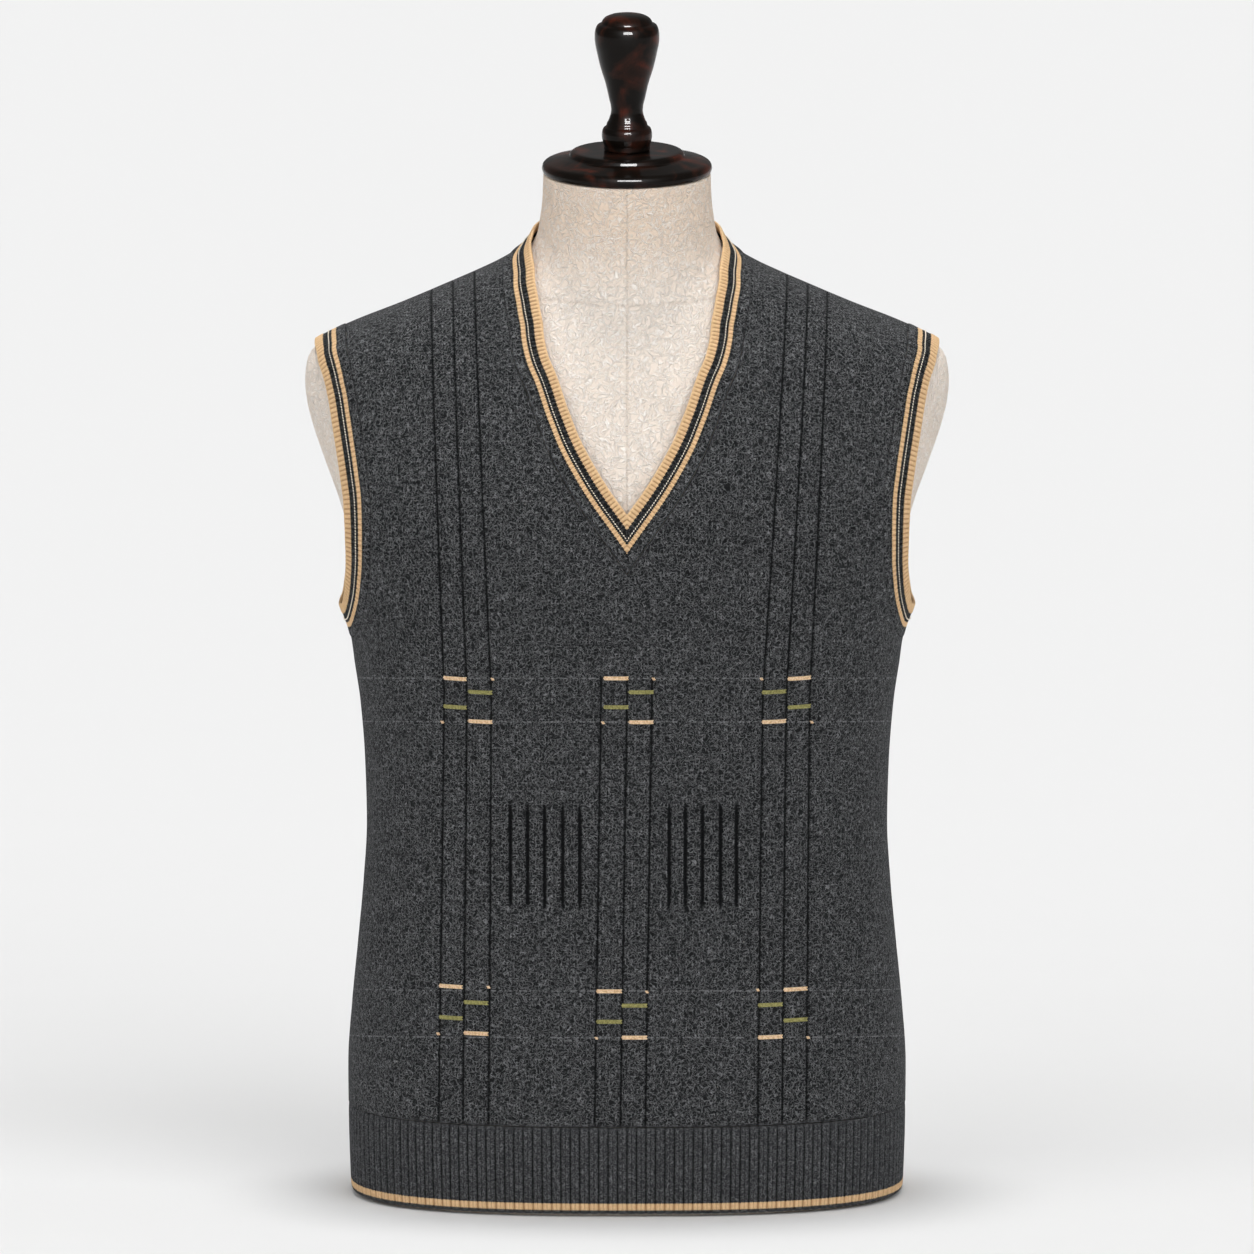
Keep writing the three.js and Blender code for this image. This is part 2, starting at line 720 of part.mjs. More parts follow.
// Dress form: one closed body with a flat base and a neck cut on the cap's slope
function dressForm() {
  const faces = [];
  const around = 48;
  const levels = [0, 2.5, 45, 105, 165, 225, 285, 340, 385, 425, 459, 485, 510, 532,
    546, 556, 562, 567, 572, 580, 593, 606, 613, 620, 627, 635, 645, 660, CAP_Z - SEAM_GAP];
  const ring = (z) => {
    const inset = z === 0 ? 3 : 0;
    const points = Array.from({ length: around }, (_, i) => {
      const turn = (2 * Math.PI * i) / around;
      const p = form(turn, z);
      p.multiplyScalar(1 - inset / 178).setZ(z);
      p.z += NECK_TILT * (p.y - CAP_Y) * THREE.MathUtils.smoothstep(z, 640, 672);
      return p;
    });
    return [...points, points[0]];
  };
  const rings = levels.map(ring);
  for (let r = 0; r + 1 < rings.length; r++) zip(faces, rings[r], rings[r + 1], false);
  const fan = (loop, flip) => {
    const middle = loop.slice(0, -1).reduce((sum, p) => sum.add(p), new THREE.Vector3());
    middle.divideScalar(loop.length - 1);
    for (let i = 0; i + 1 < loop.length; i++) {
      const face = [middle, loop[i], loop[i + 1]];
      faces.push(flip ? face.reverse() : face);
    }
  };
  fan(rings[0], true);
  fan(rings.at(-1), false);
  return mesh("dress_form", faces, 0xdcd0c0, 0.9);
}

// Turned wood, a profile of radius and height over the neck's top
function turned(name, profile, around) {
  const faces = [];
  const place = (radius, height, i) => {
    const a = (2 * Math.PI * i) / around;
    const [x, y] = [radius * Math.sin(a), -radius * Math.cos(a)];
    const tilt = Math.atan(NECK_TILT);
    return new THREE.Vector3(
      x,
      CAP_Y + y * Math.cos(tilt) - height * Math.sin(tilt),
      CAP_Z + y * Math.sin(tilt) + height * Math.cos(tilt),
    );
  };
  const loops = profile.map(({ radius, height }) =>
    Array.from({ length: around + 1 }, (_, i) => place(radius, height, i % around)),
  );
  for (let r = 0; r + 1 < loops.length; r++) {
    for (let i = 0; i < around; i++) {
      const [a, b, c, d] = [loops[r][i], loops[r][i + 1], loops[r + 1][i + 1], loops[r + 1][i]];
      faces.push([a, b, c], [a, c, d]);
    }
  }
  return mesh(name, faces, 0x1c0f0b, 0.2);
}

const CAP_PROFILE = table(
  ["radius", "height"],
  [
    [0, 0],
    [53.6, 0],
    [55.4, 1.2],
    [56, 3.6],
    [55.4, 6],
    [53, 7.8],
    [37.8, 11.6],
    [37.4, 13],
    [36.2, 14.4],
    [34.6, 14.9],
    [0, 15.2],
  ],
);
const FINIAL_PROFILE = table(
  ["radius", "height"],
  [
    [0, 15.5],
    [15.2, 15.5],
    [15.2, 18.6],
    [16.3, 22.6],
    [16.5, 26.8],
    [15.2, 30.4],
    [13.9, 31.2],
    [13.2, 33.4],
    [11.4, 37.5],
    [10.5, 42],
    [11.7, 49],
    [14.2, 60],
    [17.6, 71],
    [20.1, 82],
    [21.3, 90],
    [21.2, 94.5],
    [19.8, 98.4],
    [17, 100.3],
    [16, 102],
    [13, 104.4],
    [7, 106],
    [0, 106.4],
  ],
);

const group = new THREE.Group();
group.name = "sweater_vest_on_form";
group.add(
  panel("front_panel", true),
  panel("back_panel", false),
  hem("hem_rib_front", true),
  hem("hem_rib_back", false),
  neckband(),
  armholeBand("armhole_band_right", 1),
  armholeBand("armhole_band_left", -1),
  dressForm(),
  turned("neck_cap", CAP_PROFILE, 48),
  turned("finial", FINIAL_PROFILE, 32),
);

export default group;
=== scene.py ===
import math

import bmesh
import bpy
import numpy as np
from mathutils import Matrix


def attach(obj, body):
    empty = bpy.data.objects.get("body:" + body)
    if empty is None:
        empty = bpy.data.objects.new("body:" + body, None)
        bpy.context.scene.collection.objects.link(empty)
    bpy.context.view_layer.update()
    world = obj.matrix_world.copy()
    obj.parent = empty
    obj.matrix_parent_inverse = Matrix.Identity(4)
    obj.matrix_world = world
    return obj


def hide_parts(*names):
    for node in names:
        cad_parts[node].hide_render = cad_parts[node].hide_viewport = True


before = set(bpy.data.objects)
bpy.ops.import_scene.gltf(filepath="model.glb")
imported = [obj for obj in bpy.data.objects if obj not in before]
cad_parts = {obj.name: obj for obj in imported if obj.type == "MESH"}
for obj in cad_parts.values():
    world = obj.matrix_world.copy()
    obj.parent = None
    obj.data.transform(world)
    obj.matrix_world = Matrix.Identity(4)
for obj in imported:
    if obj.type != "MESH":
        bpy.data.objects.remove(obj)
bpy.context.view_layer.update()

MM = 0.001  # sizes below are in millimetres, and meshes and materials in metres

# Camera
# A long lens from the photograph's side, a little above the object, with its real size
# worked out so that a picture 1254 pixels wide shows 0.66 mm to the pixel.
PICTURE_WIDTH = 1254 * 0.66 * MM
LENS, SENSOR = 600.0, 36.0
ELEVATION = math.radians(8.5)
AIM_HEIGHT = 0.37519

distance = PICTURE_WIDTH * LENS / SENSOR
camera = bpy.data.objects.new("camera", bpy.data.cameras.new("camera"))
camera.data.lens, camera.data.sensor_width = LENS, SENSOR
camera.data.clip_end = 200
camera.location = (
    0,
    -distance * math.cos(ELEVATION),
    AIM_HEIGHT + distance * math.sin(ELEVATION),
)
camera.rotation_euler = (math.pi / 2 - ELEVATION, 0, 0)
bpy.context.collection.objects.link(camera)
bpy.context.scene.camera = camera


# Floor and light
# A pale seamless floor that runs on behind the object, and soft boxes above and beside it.
def linear(code, alpha=1.0):
    """An sRGB hex colour as linear numbers."""
    shares = [int(code[i : i + 2], 16) / 255 for i in (0, 2, 4)]
    return (*(c / 12.92 if c < 0.04045 else ((c + 0.055) / 1.055) ** 2.4 for c in shares), alpha)


def node(tree, kind, inputs=None, **settings):
    """Adds one node. An input takes a value, a node for its first output, or (node, output)."""
    made = tree.nodes.new(kind)
    for key, value in settings.items():
        setattr(made, key, value)
    for key, value in (inputs or {}).items():
        if isinstance(value, bpy.types.Node):
            value = (value, 0)
        if isinstance(value, tuple) and isinstance(value[0], bpy.types.Node):
            tree.links.new(value[0].outputs[value[1]], made.inputs[key])
        else:
            made.inputs[key].default_value = value
    return made


def new_material(name, colour):
    """A material with an empty node tree, and its plain viewport colour."""
    material = bpy.data.materials.new(name)
    material.use_nodes = True
    material.diffuse_color = linear(colour)
    material.node_tree.nodes.clear()
    return material, material.node_tree


# Matt seamless paper: near white, with no gloss
PAPER = "DEDEDE"
paper, tree = new_material("seamless_paper", PAPER)
shader = node(tree, "ShaderNodeBsdfPrincipled",
              {"Base Color": linear(PAPER), "Roughness": 0.95, "Specular IOR Level": 0.0})
node(tree, "ShaderNodeOutputMaterial", {"Surface": (shader, "BSDF")})

FLOOR_HALF = 30.0
floor_mesh = bpy.data.meshes.new("floor")
floor_mesh.from_pydata(
    [(x * FLOOR_HALF, y * FLOOR_HALF, 0) for x, y in ((-1, -1), (1, -1), (1, 1), (-1, 1))],
    [],
    [(0, 1, 2, 3)],
)
floor_mesh.materials.append(paper)
floor = bpy.data.objects.new("floor", floor_mesh)
bpy.context.collection.objects.link(floor)

world = bpy.data.worlds.new("studio")
world.use_nodes = True
world.node_tree.nodes["Background"].inputs["Color"].default_value = linear("FFFFFF")
world.node_tree.nodes["Background"].inputs["Strength"].default_value = 0.2
bpy.context.scene.world = world
bpy.context.scene.view_settings.view_transform = "Standard"


def turn_light(made, place, target):
    """Turns a light at `place` to face its target."""
    way = np.array(target) - np.array(place)
    made.location = place
    made.rotation_euler = (
        math.atan2(math.hypot(way[0], way[1]), -way[2]), 0, math.atan2(-way[0], way[1])
    )
    bpy.context.collection.objects.link(made)


# Wide, even light from far diffusers, too large to show in a gloss; the one overhead keeps
# the object's shadow soft and close to it
for name, place, strength, spread in (
    ("key_diffuser", (2.2, -3.0, 3.2), 1.35, 50),
    ("fill_diffuser", (-2.8, -2.6, 2.6), 1.0, 60),
    ("top_diffuser", (0.0, 0.3, 4.0), 1.9, 16),
):
    light = bpy.data.lights.new(name, "SUN")
    light.energy, light.angle = strength, math.radians(spread)
    made = bpy.data.objects.new(name, light)
    made.visible_glossy = False
    turn_light(made, place, (0, 0, 0.4))

# A window of three panes, one above the other, seen only as a highlight on the lacquer
WINDOW_WIDTH, PANE_RADIANCE = 1.2, 120.0
for number, (height, tall) in enumerate(((1.54, 0.16), (1.78, 0.16), (2.16, 0.34))):
    light = bpy.data.lights.new("window_pane_%d" % number, "AREA")
    light.shape, light.size, light.size_y = "RECTANGLE", WINDOW_WIDTH, tall
    light.energy = PANE_RADIANCE * math.pi * WINDOW_WIDTH * tall
    made = bpy.data.objects.new(light.name, light)
    made.visible_diffuse = made.visible_camera = False
    turn_light(made, (0.12, -2.0, height), (0, 0, 0.72))

# Dress form
# A limbless bust of moulded paper pulp with a cover of thin fibrous cloth, pasted on in
# panels that meet at the centre front and round the root of the neck.
QUARTER = math.pi / 2  # of a full turn, from the front to a side seam


def table(columns, *rows):
    """A table of sizes in millimetres, with a name for each column."""
    return {name: np.array(values, float) for name, values in zip(columns.split(), zip(*rows))}


FORM = table(
    "z side front back mid square",
    (0, 176.5, 110.5, 99.5, 0, 2.6),
    (12, 178, 110.4, 99.2, 0, 2.6),
    (45, 179.6, 110.4, 98.7, 0, 2.55),
    (85, 180, 108.9, 96.2, 0, 2.45),
    (126, 177.2, 105.9, 91.2, 0, 2.4),
    (166, 173.3, 102.9, 86.2, 0, 2.35),
    (206, 169.6, 101.4, 82.7, 0, 2.4),
    (246, 167.3, 101.9, 82.2, 0, 2.4),
    (286, 168.3, 104.9, 86.2, 0, 2.4),
    (326, 171.3, 109.4, 93.2, 0, 2.35),
    (370, 175.7, 113.7, 101.7, 0, 2.3),
    (405, 177.7, 114.4, 105.7, 1, 2.3),
    (432, 182, 113.7, 108, 2, 2.25),
    (459, 189.1, 110, 107, 3, 2.2),
    (485.8, 198.7, 104, 105, 4, 2.15),
    (512, 207.6, 96, 100.5, 5, 2.05),
    (525.7, 210.9, 91, 97, 5, 2),
    (539, 212.2, 86, 93, 6, 2),
    (552, 210.8, 80.5, 88.5, 6, 2),
    (558, 208.3, 77, 85.8, 7, 2),
    (562, 203.8, 74.8, 83.4, 7, 2),
    (566, 195, 72.6, 81.3, 7, 2),
    (577, 170.4, 67.2, 76.8, 7, 2),
    (590.3, 137.4, 60.8, 70.6, 7, 2),
    (604, 105.5, 55.3, 66, 7, 2),
    (610.8, 90.5, 53.3, 64, 7, 2),
    (617.6, 77.5, 52.3, 62.3, 7, 2),
    (624, 68.4, 52.3, 60.8, 7, 2),
    (631.3, 61.8, 53.5, 59, 4.5, 2),
    (639, 58.6, 55.5, 56.7, 1, 2),
    (648, 57.2, 58.5, 53.2, -2, 2),
    (660, 55.7, 62.2, 49, -6, 2),
    (678, 55, 67.3, 42.5, -12.4, 2),
)


def column(rows, key):
    """A smooth curve through one column of a table, with no overshoot."""
    z, v = rows["z"], rows[key]
    step = np.diff(v) / np.diff(z)
    a, b = step[:-1], step[1:]
    bent = np.where(a * b > 0, 2 * a * b / np.where(a + b == 0, 1, a + b), 0)
    slope = np.concatenate([step[:1], bent, step[-1:]])

    def at(height):
        i = np.clip(np.searchsorted(z, height, side="right") - 1, 0, len(z) - 2)
        run = z[i + 1] - z[i]
        t = np.clip((height - z[i]) / run, 0, 1)
        s = 1 - t
        past = height - np.clip(height, z[0], z[-1])
        return (
            v[i] * (1 + 2 * t) * s * s
            + v[i + 1] * t * t * (3 - 2 * t)
            + run * (slope[i] * t * s * s - slope[i + 1] * t * t * s)
            + np.where(past < 0, slope[0], slope[-1]) * past
        )

    return at


def skin(rows):
    """A skin through rings. Its turn is 0 at the centre front, a quarter at the side seam."""
    side, front, back, mid, square = (
        column(rows, key) for key in ("side", "front", "back", "mid", "square")
    )

    def at(turn, z):
        s, n = np.sin(turn), square(z)
        lean = np.maximum(0, 1 - np.abs(s) ** n) ** (1 / n)
        reach = np.where(np.cos(turn) > 0, -front(z) - mid(z), back(z) - mid(z))
        return np.stack([side(z) * s, mid(z) + reach * lean, z + 0 * s], -1)

    at.side = side
    return at


def slopes(face, turn, z, turn_step=0.01, z_step=0.4):
    """How the skin runs per unit of turn and of height."""
    round_it = (face(turn + turn_step, z) - face(turn - turn_step, z)) / (2 * turn_step)
    up = (face(turn, z + z_step) - face(turn, z - z_step)) / (2 * z_step)
    return round_it, up


def unit(vectors):
    return vectors / np.linalg.norm(vectors, axis=-1, keepdims=True)


def outward(face, turn, z):
    return unit(np.cross(*slopes(face, turn, z)))


def smooth_step(value, low, high):
    t = np.clip((value - low) / (high - low), 0, 1)
    return t * t * (3 - 2 * t)


def grid_faces(rows, columns, start=0):
    """Corner numbers of the cells of a grid of points."""
    r, c = np.meshgrid(np.arange(rows - 1), np.arange(columns - 1), indexing="ij")
    first = (start + r * columns + c).ravel()
    return np.stack([first, first + 1, first + columns + 1, first + columns], -1)


def piece_mesh(name, parts):
    """A mesh in metres from grids of points in mm, each (points, uv in mm, {attribute: grid})."""
    faces, points, uvs, extra, start = [], [], [], {}, 0
    for grid, uv, marks in parts:
        rows, columns = grid.shape[:2]
        faces.append(grid_faces(rows, columns, start))
        points.append(grid.reshape(-1, 3) * MM)
        uvs.append(uv.reshape(-1, 2) * MM)
        for key, values in marks.items():
            extra.setdefault(key, []).append(np.broadcast_to(values, (rows, columns)).ravel())
        start += rows * columns
    faces, points, uvs = np.concatenate(faces), np.concatenate(points), np.concatenate(uvs)
    made = bpy.data.meshes.new(name)
    made.vertices.add(len(points))
    made.vertices.foreach_set("co", points.ravel())
    made.loops.add(faces.size)
    made.loops.foreach_set("vertex_index", faces.ravel())
    made.polygons.add(len(faces))
    made.polygons.foreach_set("loop_start", np.arange(0, faces.size, 4))
    made.polygons.foreach_set("loop_total", np.full(len(faces), 4))
    layer = made.uv_layers.new(name="cloth")
    layer.uv.foreach_set("vector", uvs[faces.ravel()].ravel())
    for key, values in extra.items():
        mark = made.attributes.new(key, "FLOAT", "POINT")
        mark.data.foreach_set("value", np.concatenate(values))
    made.update(calc_edges=True)
    made.validate()
    return made


def tidy_mesh(mesh, keep_right=False, mirror=False):
    """Joins a mesh's doubled points; it may first be cut at x = 0 and mirrored there."""
    form = bmesh.new()
    form.from_mesh(mesh)
    if keep_right:
        everything = [*form.verts, *form.edges, *form.faces]
        bmesh.ops.bisect_plane(
            form, geom=everything, dist=1e-7, plane_co=(0, 0, 0), plane_no=(1, 0, 0),
            clear_inner=True,
        )
    if mirror:
        bmesh.ops.mirror(form, geom=[*form.verts, *form.edges, *form.faces], axis="X",
                         merge_dist=1e-5)
    bmesh.ops.remove_doubles(form, verts=form.verts, dist=2e-6)
    bmesh.ops.recalc_face_normals(form, faces=form.faces)
    form.to_mesh(mesh)
    form.free()
    mesh.update()
    return mesh


def place_piece(name, mesh, material):
    """An object at the origin, smooth shaded, with one material."""
    mesh.materials.clear()
    mesh.materials.append(material)
    mesh.polygons.foreach_set("use_smooth", np.ones(len(mesh.polygons), bool))
    made = bpy.data.objects.new(name, mesh)
    bpy.context.collection.objects.link(made)
    return made


def settle(made):
    """Turns an object's modifiers into its plain mesh."""
    graph = bpy.context.evaluated_depsgraph_get()
    finished = bpy.data.meshes.new_from_object(made.evaluated_get(graph))
    made.modifiers.clear()
    made.data = finished
    return made


# Thin fibrous cloth, pasted and sized: matt, cream beige, with curling fibres pressed
# into it and a faint darker line where its panels meet
FORM_PAPER, FORM_SHADE, FORM_FIBRE, FORM_SEAM = "F2E7DC", "E2D3C4", "FBF7F2", "A08B76"
FORM_CURL, FORM_FIBRE_WIDTH = 5.0 * MM, 0.55 * MM  # of the pressed fibres
FORM_STAIN = 70 * MM  # size of its paler and darker places
FORM_GRAIN = 1.11 * MM  # coarser than the real pulp, so that it shows
FORM_RELIEF = 0.7 * MM  # how far the pressed fibres stand up
# The neck is painted a warmer, darker tone, rising from 600 mm to 650 mm
FORM_NECK_TONE, NECK_TONE_FROM, NECK_TONE_TO = "F0D2B4", 600 * MM, 650 * MM  # warmer up the neck
SEAM_LINE, SEAM_DEPTH = 1.1, 0.25  # half the width of a butted seam, and its depth
NECK_SEAM = (618.0, 0.36)  # height at the shoulder, and how far it drops per mm to the front


def curls(tree, here, step, width, sizes):
    """How strongly a curling fibre shows: the edges of bent cells, broken into short lengths.

    The cells are `step` across, times each of the sizes, and a fibre is `width` thick.
    """
    sway = node(tree, "ShaderNodeTexNoise",
                {"Scale": 0.8 / step, "Detail": 1.0, "Vector": (here, "Object")})
    sway = node(tree, "ShaderNodeVectorMath", {"Scale": 1.6 * step, 0: (sway, "Color")},
                operation="SCALE")
    bent = node(tree, "ShaderNodeVectorMath", {0: (here, "Object"), 1: sway}, operation="ADD")
    shown = None
    for size, strength in sizes:
        cells = node(tree, "ShaderNodeTexVoronoi", {"Scale": 1 / (size * step), "Vector": bent},
                     feature="DISTANCE_TO_EDGE")
        line = node(tree, "ShaderNodeMapRange", {"From Min": 0.2 * width / (size * step),
                                                 "From Max": width / (size * step),
                                                 "To Min": strength, "To Max": 0.0,
                                                 "Value": (cells, "Distance")})
        gate = node(tree, "ShaderNodeTexNoise",
                    {"Scale": 1.3 / (size * step), "Detail": 1.0, "Vector": bent})
        gate = node(tree, "ShaderNodeMapRange",
                    {"From Min": 0.42, "From Max": 0.55, "Value": (gate, "Fac")})
        line = node(tree, "ShaderNodeMath", {0: line, 1: gate}, operation="MULTIPLY")
        shown = line if shown is None else node(tree, "ShaderNodeMath", {0: shown, 1: line},
                                                operation="MAXIMUM")
    return shown


form_cover, tree = new_material("sized_fibre_cover", FORM_PAPER)
here = node(tree, "ShaderNodeTexCoord")
stain = node(tree, "ShaderNodeTexNoise",
             {"Scale": 1 / FORM_STAIN, "Detail": 4.0, "Vector": (here, "Object")})
fibre = curls(tree, here, FORM_CURL, FORM_FIBRE_WIDTH, ((1.0, 1.0), (0.6, 0.7)))
fine = node(tree, "ShaderNodeTexNoise",
            {"Scale": 1 / FORM_GRAIN, "Detail": 2.0, "Vector": (here, "Object")})
seam = node(tree, "ShaderNodeAttribute", attribute_name="seam")
ground = node(tree, "ShaderNodeMix",
              {0: (stain, "Fac"), 6: linear(FORM_PAPER), 7: linear(FORM_SHADE)}, data_type="RGBA")
place = node(tree, "ShaderNodeSeparateXYZ", {0: (here, "Object")})
neck_tone = node(tree, "ShaderNodeMapRange", {"From Min": NECK_TONE_FROM, "From Max": NECK_TONE_TO,
                                            "To Max": 0.45, "Value": (place, "Z")})
ground = node(tree, "ShaderNodeMix", {0: neck_tone, 6: (ground, 2), 7: linear(FORM_NECK_TONE)},
              data_type="RGBA")
fibre_share = node(tree, "ShaderNodeMath", {0: fibre, 1: 0.65}, operation="MULTIPLY")
ground = node(tree, "ShaderNodeMix", {0: fibre_share, 6: (ground, 2), 7: linear(FORM_FIBRE)},
              data_type="RGBA")
seam_share = node(tree, "ShaderNodeMath", {0: (seam, "Fac"), 1: 0.32}, operation="MULTIPLY")
ground = node(tree, "ShaderNodeMix", {0: seam_share, 6: (ground, 2), 7: linear(FORM_SEAM)},
              data_type="RGBA")
relief = node(tree, "ShaderNodeMath", {0: (fine, "Fac"), 1: 0.25, 2: fibre},
              operation="MULTIPLY_ADD")
bump = node(tree, "ShaderNodeBump", {"Strength": 1.0, "Distance": FORM_RELIEF, "Height": relief})
shader = node(tree, "ShaderNodeBsdfPrincipled", {"Roughness": 0.85, "Specular IOR Level": 0.04,
                                                 "Base Color": (ground, 2),
                                                 "Normal": (bump, "Normal")})
node(tree, "ShaderNodeOutputMaterial", {"Surface": (shader, "BSDF")})

CAP_Z, CAP_Y, NECK_TILT = 679.0, -12.4, 0.07  # where the neck's sloping top is cut
form = skin(FORM)
near_seam = np.array([0.003, 0.006, 0.01, 0.02])  # turns close to the centre-front seam
turn = np.concatenate([np.linspace(0, 2 * math.pi, 193), near_seam, 2 * math.pi - near_seam])
turn.sort()
levels = np.concatenate([[0, 2.5], np.arange(6, 560, 4.0), np.arange(560, CAP_Z - 0.35, 1.6)])
levels = np.append(levels, CAP_Z - 0.35)
turns, heights = np.meshgrid(turn, levels)
body = form(turns, heights)
body[0, :, :2] *= 1 - 3 / 178  # the base is rounded in
neck = smooth_step(heights, 640, 672)
body[..., 2] += NECK_TILT * (body[..., 1] - CAP_Y) * neck
to_seam = np.abs(heights - (NECK_SEAM[0] + NECK_SEAM[1] * body[..., 1]))
front_line = np.where(body[..., 1] < 0, np.abs(body[..., 0]), 99)
marks = np.clip(1 - np.minimum(front_line, to_seam) / SEAM_LINE, 0, 1)
body -= outward(form, turns, heights) * (SEAM_DEPTH * marks)[..., None]
middle = [np.broadcast_to(body[i].mean(0), body[i].shape)[None] for i in (0, -1)]
body = np.concatenate([middle[0], body, middle[1]])
marks = np.concatenate([marks[:1] * 0, marks, marks[:1] * 0])
flat = np.stack([turns * 100, heights], -1)  # laid flat at a mean radius of 100 mm
flat = np.concatenate([flat[:1], flat, flat[-1:]])
form_body = place_piece(
    "form_body", tidy_mesh(piece_mesh("form_body", [(body, flat, {"seam": marks})])), form_cover
)
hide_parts("dress_form")
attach(form_body, "root")

# Neck cap
# A turned disc of dark wood on the neck, stepped up to the handle, stained and lacquered.
CAP_PROFILE = table(
    "radius height",
    (0, 0), (53, 0), (54.6, 0.5), (55.5, 1.5), (56, 3.4), (55.7, 5.0), (54.8, 6.6), (53, 7.7),
    (50, 8.5), (46, 9.5), (42, 10.5), (39, 11.2), (38, 11.7), (37.7, 12.4), (37.3, 13.4),
    (36.4, 14.2), (35.2, 14.8), (33, 15.05), (24, 15.1), (12, 15.15), (0, 15.2),
)

# Lacquered hardwood: nearly black, with red-brown figure that glows under a thick gloss
# coat. The coat's IOR is low, as the studio round it is white
WOOD_DARK, WOOD_BROWN, WOOD_RED = "0B0603", "26120A", "481B0D"
WOOD_FIGURE = 29.4 * MM  # size of its clouds
PORE_WIDTH, PORE_LENGTH = 1.11 * MM, 16.7 * MM  # wider than real pores, to show

lacquered_wood, tree = new_material("lacquered_dark_wood", WOOD_DARK)
here = node(tree, "ShaderNodeTexCoord")
cloud = node(tree, "ShaderNodeTexNoise", {"Scale": 1 / WOOD_FIGURE, "Detail": 3.0,
                                          "Distortion": 1.2, "Vector": (here, "Object")})
figure = node(tree, "ShaderNodeValToRGB", {"Fac": (cloud, "Fac")})
stops = figure.color_ramp.elements
stops[0].color = linear(WOOD_DARK)
for place, colour in ((0.46, WOOD_DARK), (0.56, WOOD_BROWN), (0.7, WOOD_RED)):
    stops.new(place).color = linear(colour)
stops.remove(stops[-1])
pore_scale = (1 / PORE_WIDTH, 1 / PORE_WIDTH, 1 / PORE_LENGTH)
stretched = node(tree, "ShaderNodeMapping", {"Scale": pore_scale, "Vector": (here, "Object")})
pores = node(tree, "ShaderNodeTexNoise", {"Scale": 1.0, "Detail": 2.0, "Vector": stretched})
pore_share = node(tree, "ShaderNodeMapRange",
                  {"From Min": 0.5, "From Max": 0.75, "To Max": 0.5, "Value": (pores, "Fac")})
grained = node(tree, "ShaderNodeMix", {0: pore_share, 6: figure, 7: linear(WOOD_DARK)},
               data_type="RGBA")
shader = node(tree, "ShaderNodeBsdfPrincipled", {"Roughness": 0.45, "IOR": 1.4,
                                                 "Specular IOR Level": 0.05, "Coat Weight": 0.6,
                                                 "Coat Roughness": 0.02, "Coat IOR": 1.25,
                                                 "Base Color": (grained, 2)})
node(tree, "ShaderNodeOutputMaterial", {"Surface": (shader, "BSDF")})


def turned(name, profile, steps=5, around=128):
    """A solid turned on the neck's sloping axis, its profile rounded between its points."""
    radius, height = profile["radius"], profile["height"]
    run = np.concatenate([[0], np.cumsum(np.hypot(np.diff(radius), np.diff(height)))])
    fine = np.unique(np.concatenate([
        np.linspace(run[i], run[i + 1], steps + 1) for i in range(len(run) - 1)
    ]))
    curve = {"z": run, "radius": radius, "height": height}
    radius, height = column(curve, "radius")(fine), column(curve, "height")(fine)
    angle = np.linspace(0, 2 * math.pi, around + 1)
    angle[-1] = 0
    tilt = math.atan(NECK_TILT)
    x = radius[:, None] * np.sin(angle)
    y = -radius[:, None] * np.cos(angle)
    h = height[:, None] + 0 * angle
    points = np.stack([
        x,
        CAP_Y + y * math.cos(tilt) - h * math.sin(tilt),
        CAP_Z + y * math.sin(tilt) + h * math.cos(tilt),
    ], -1)
    flat = np.stack([angle * 50 + 0 * h, fine[:, None] + 0 * h], -1)
    return place_piece(
        name, tidy_mesh(piece_mesh(name, [(points, flat, {})])), lacquered_wood
    )


neck_disc = turned("neck_disc", CAP_PROFILE)
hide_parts("neck_cap")
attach(neck_disc, "root")

# Finial
# The handle, turned from the same wood: a low collar, a waist and a swelling head. On the
# real form it is screwed into the cap; here it stays as shown.
FINIAL_PROFILE = table(
    "radius height",
    (0, 15.5), (14.6, 15.5), (15.2, 16.2), (15.2, 18.6), (15.7, 20.4), (16.3, 22.6),
    (16.6, 24.8), (16.5, 26.8), (16.1, 28.8), (15.2, 30.4), (14.1, 31.2), (13.6, 32), (13.2, 33.4),
    (12.2, 35.2), (11.4, 37.5), (10.7, 40), (10.5, 42), (10.8, 45.4), (11.7, 49), (12.9, 54.5),
    (14.2, 60), (17.6, 71), (20.1, 82), (21, 86.5), (21.3, 90), (21.3, 92.6), (21.0, 95),
    (20.4, 97.1), (19.4, 98.8), (18.2, 99.6), (17, 100.3), (16.5, 101.3), (15.8, 102.4),
    (14.6, 103.6), (12.6, 104.7), (9.6, 105.6), (5, 106.2), (0, 106.4),
)
handle = turned("handle", FINIAL_PROFILE, steps=4)
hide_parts("finial")
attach(handle, "root")

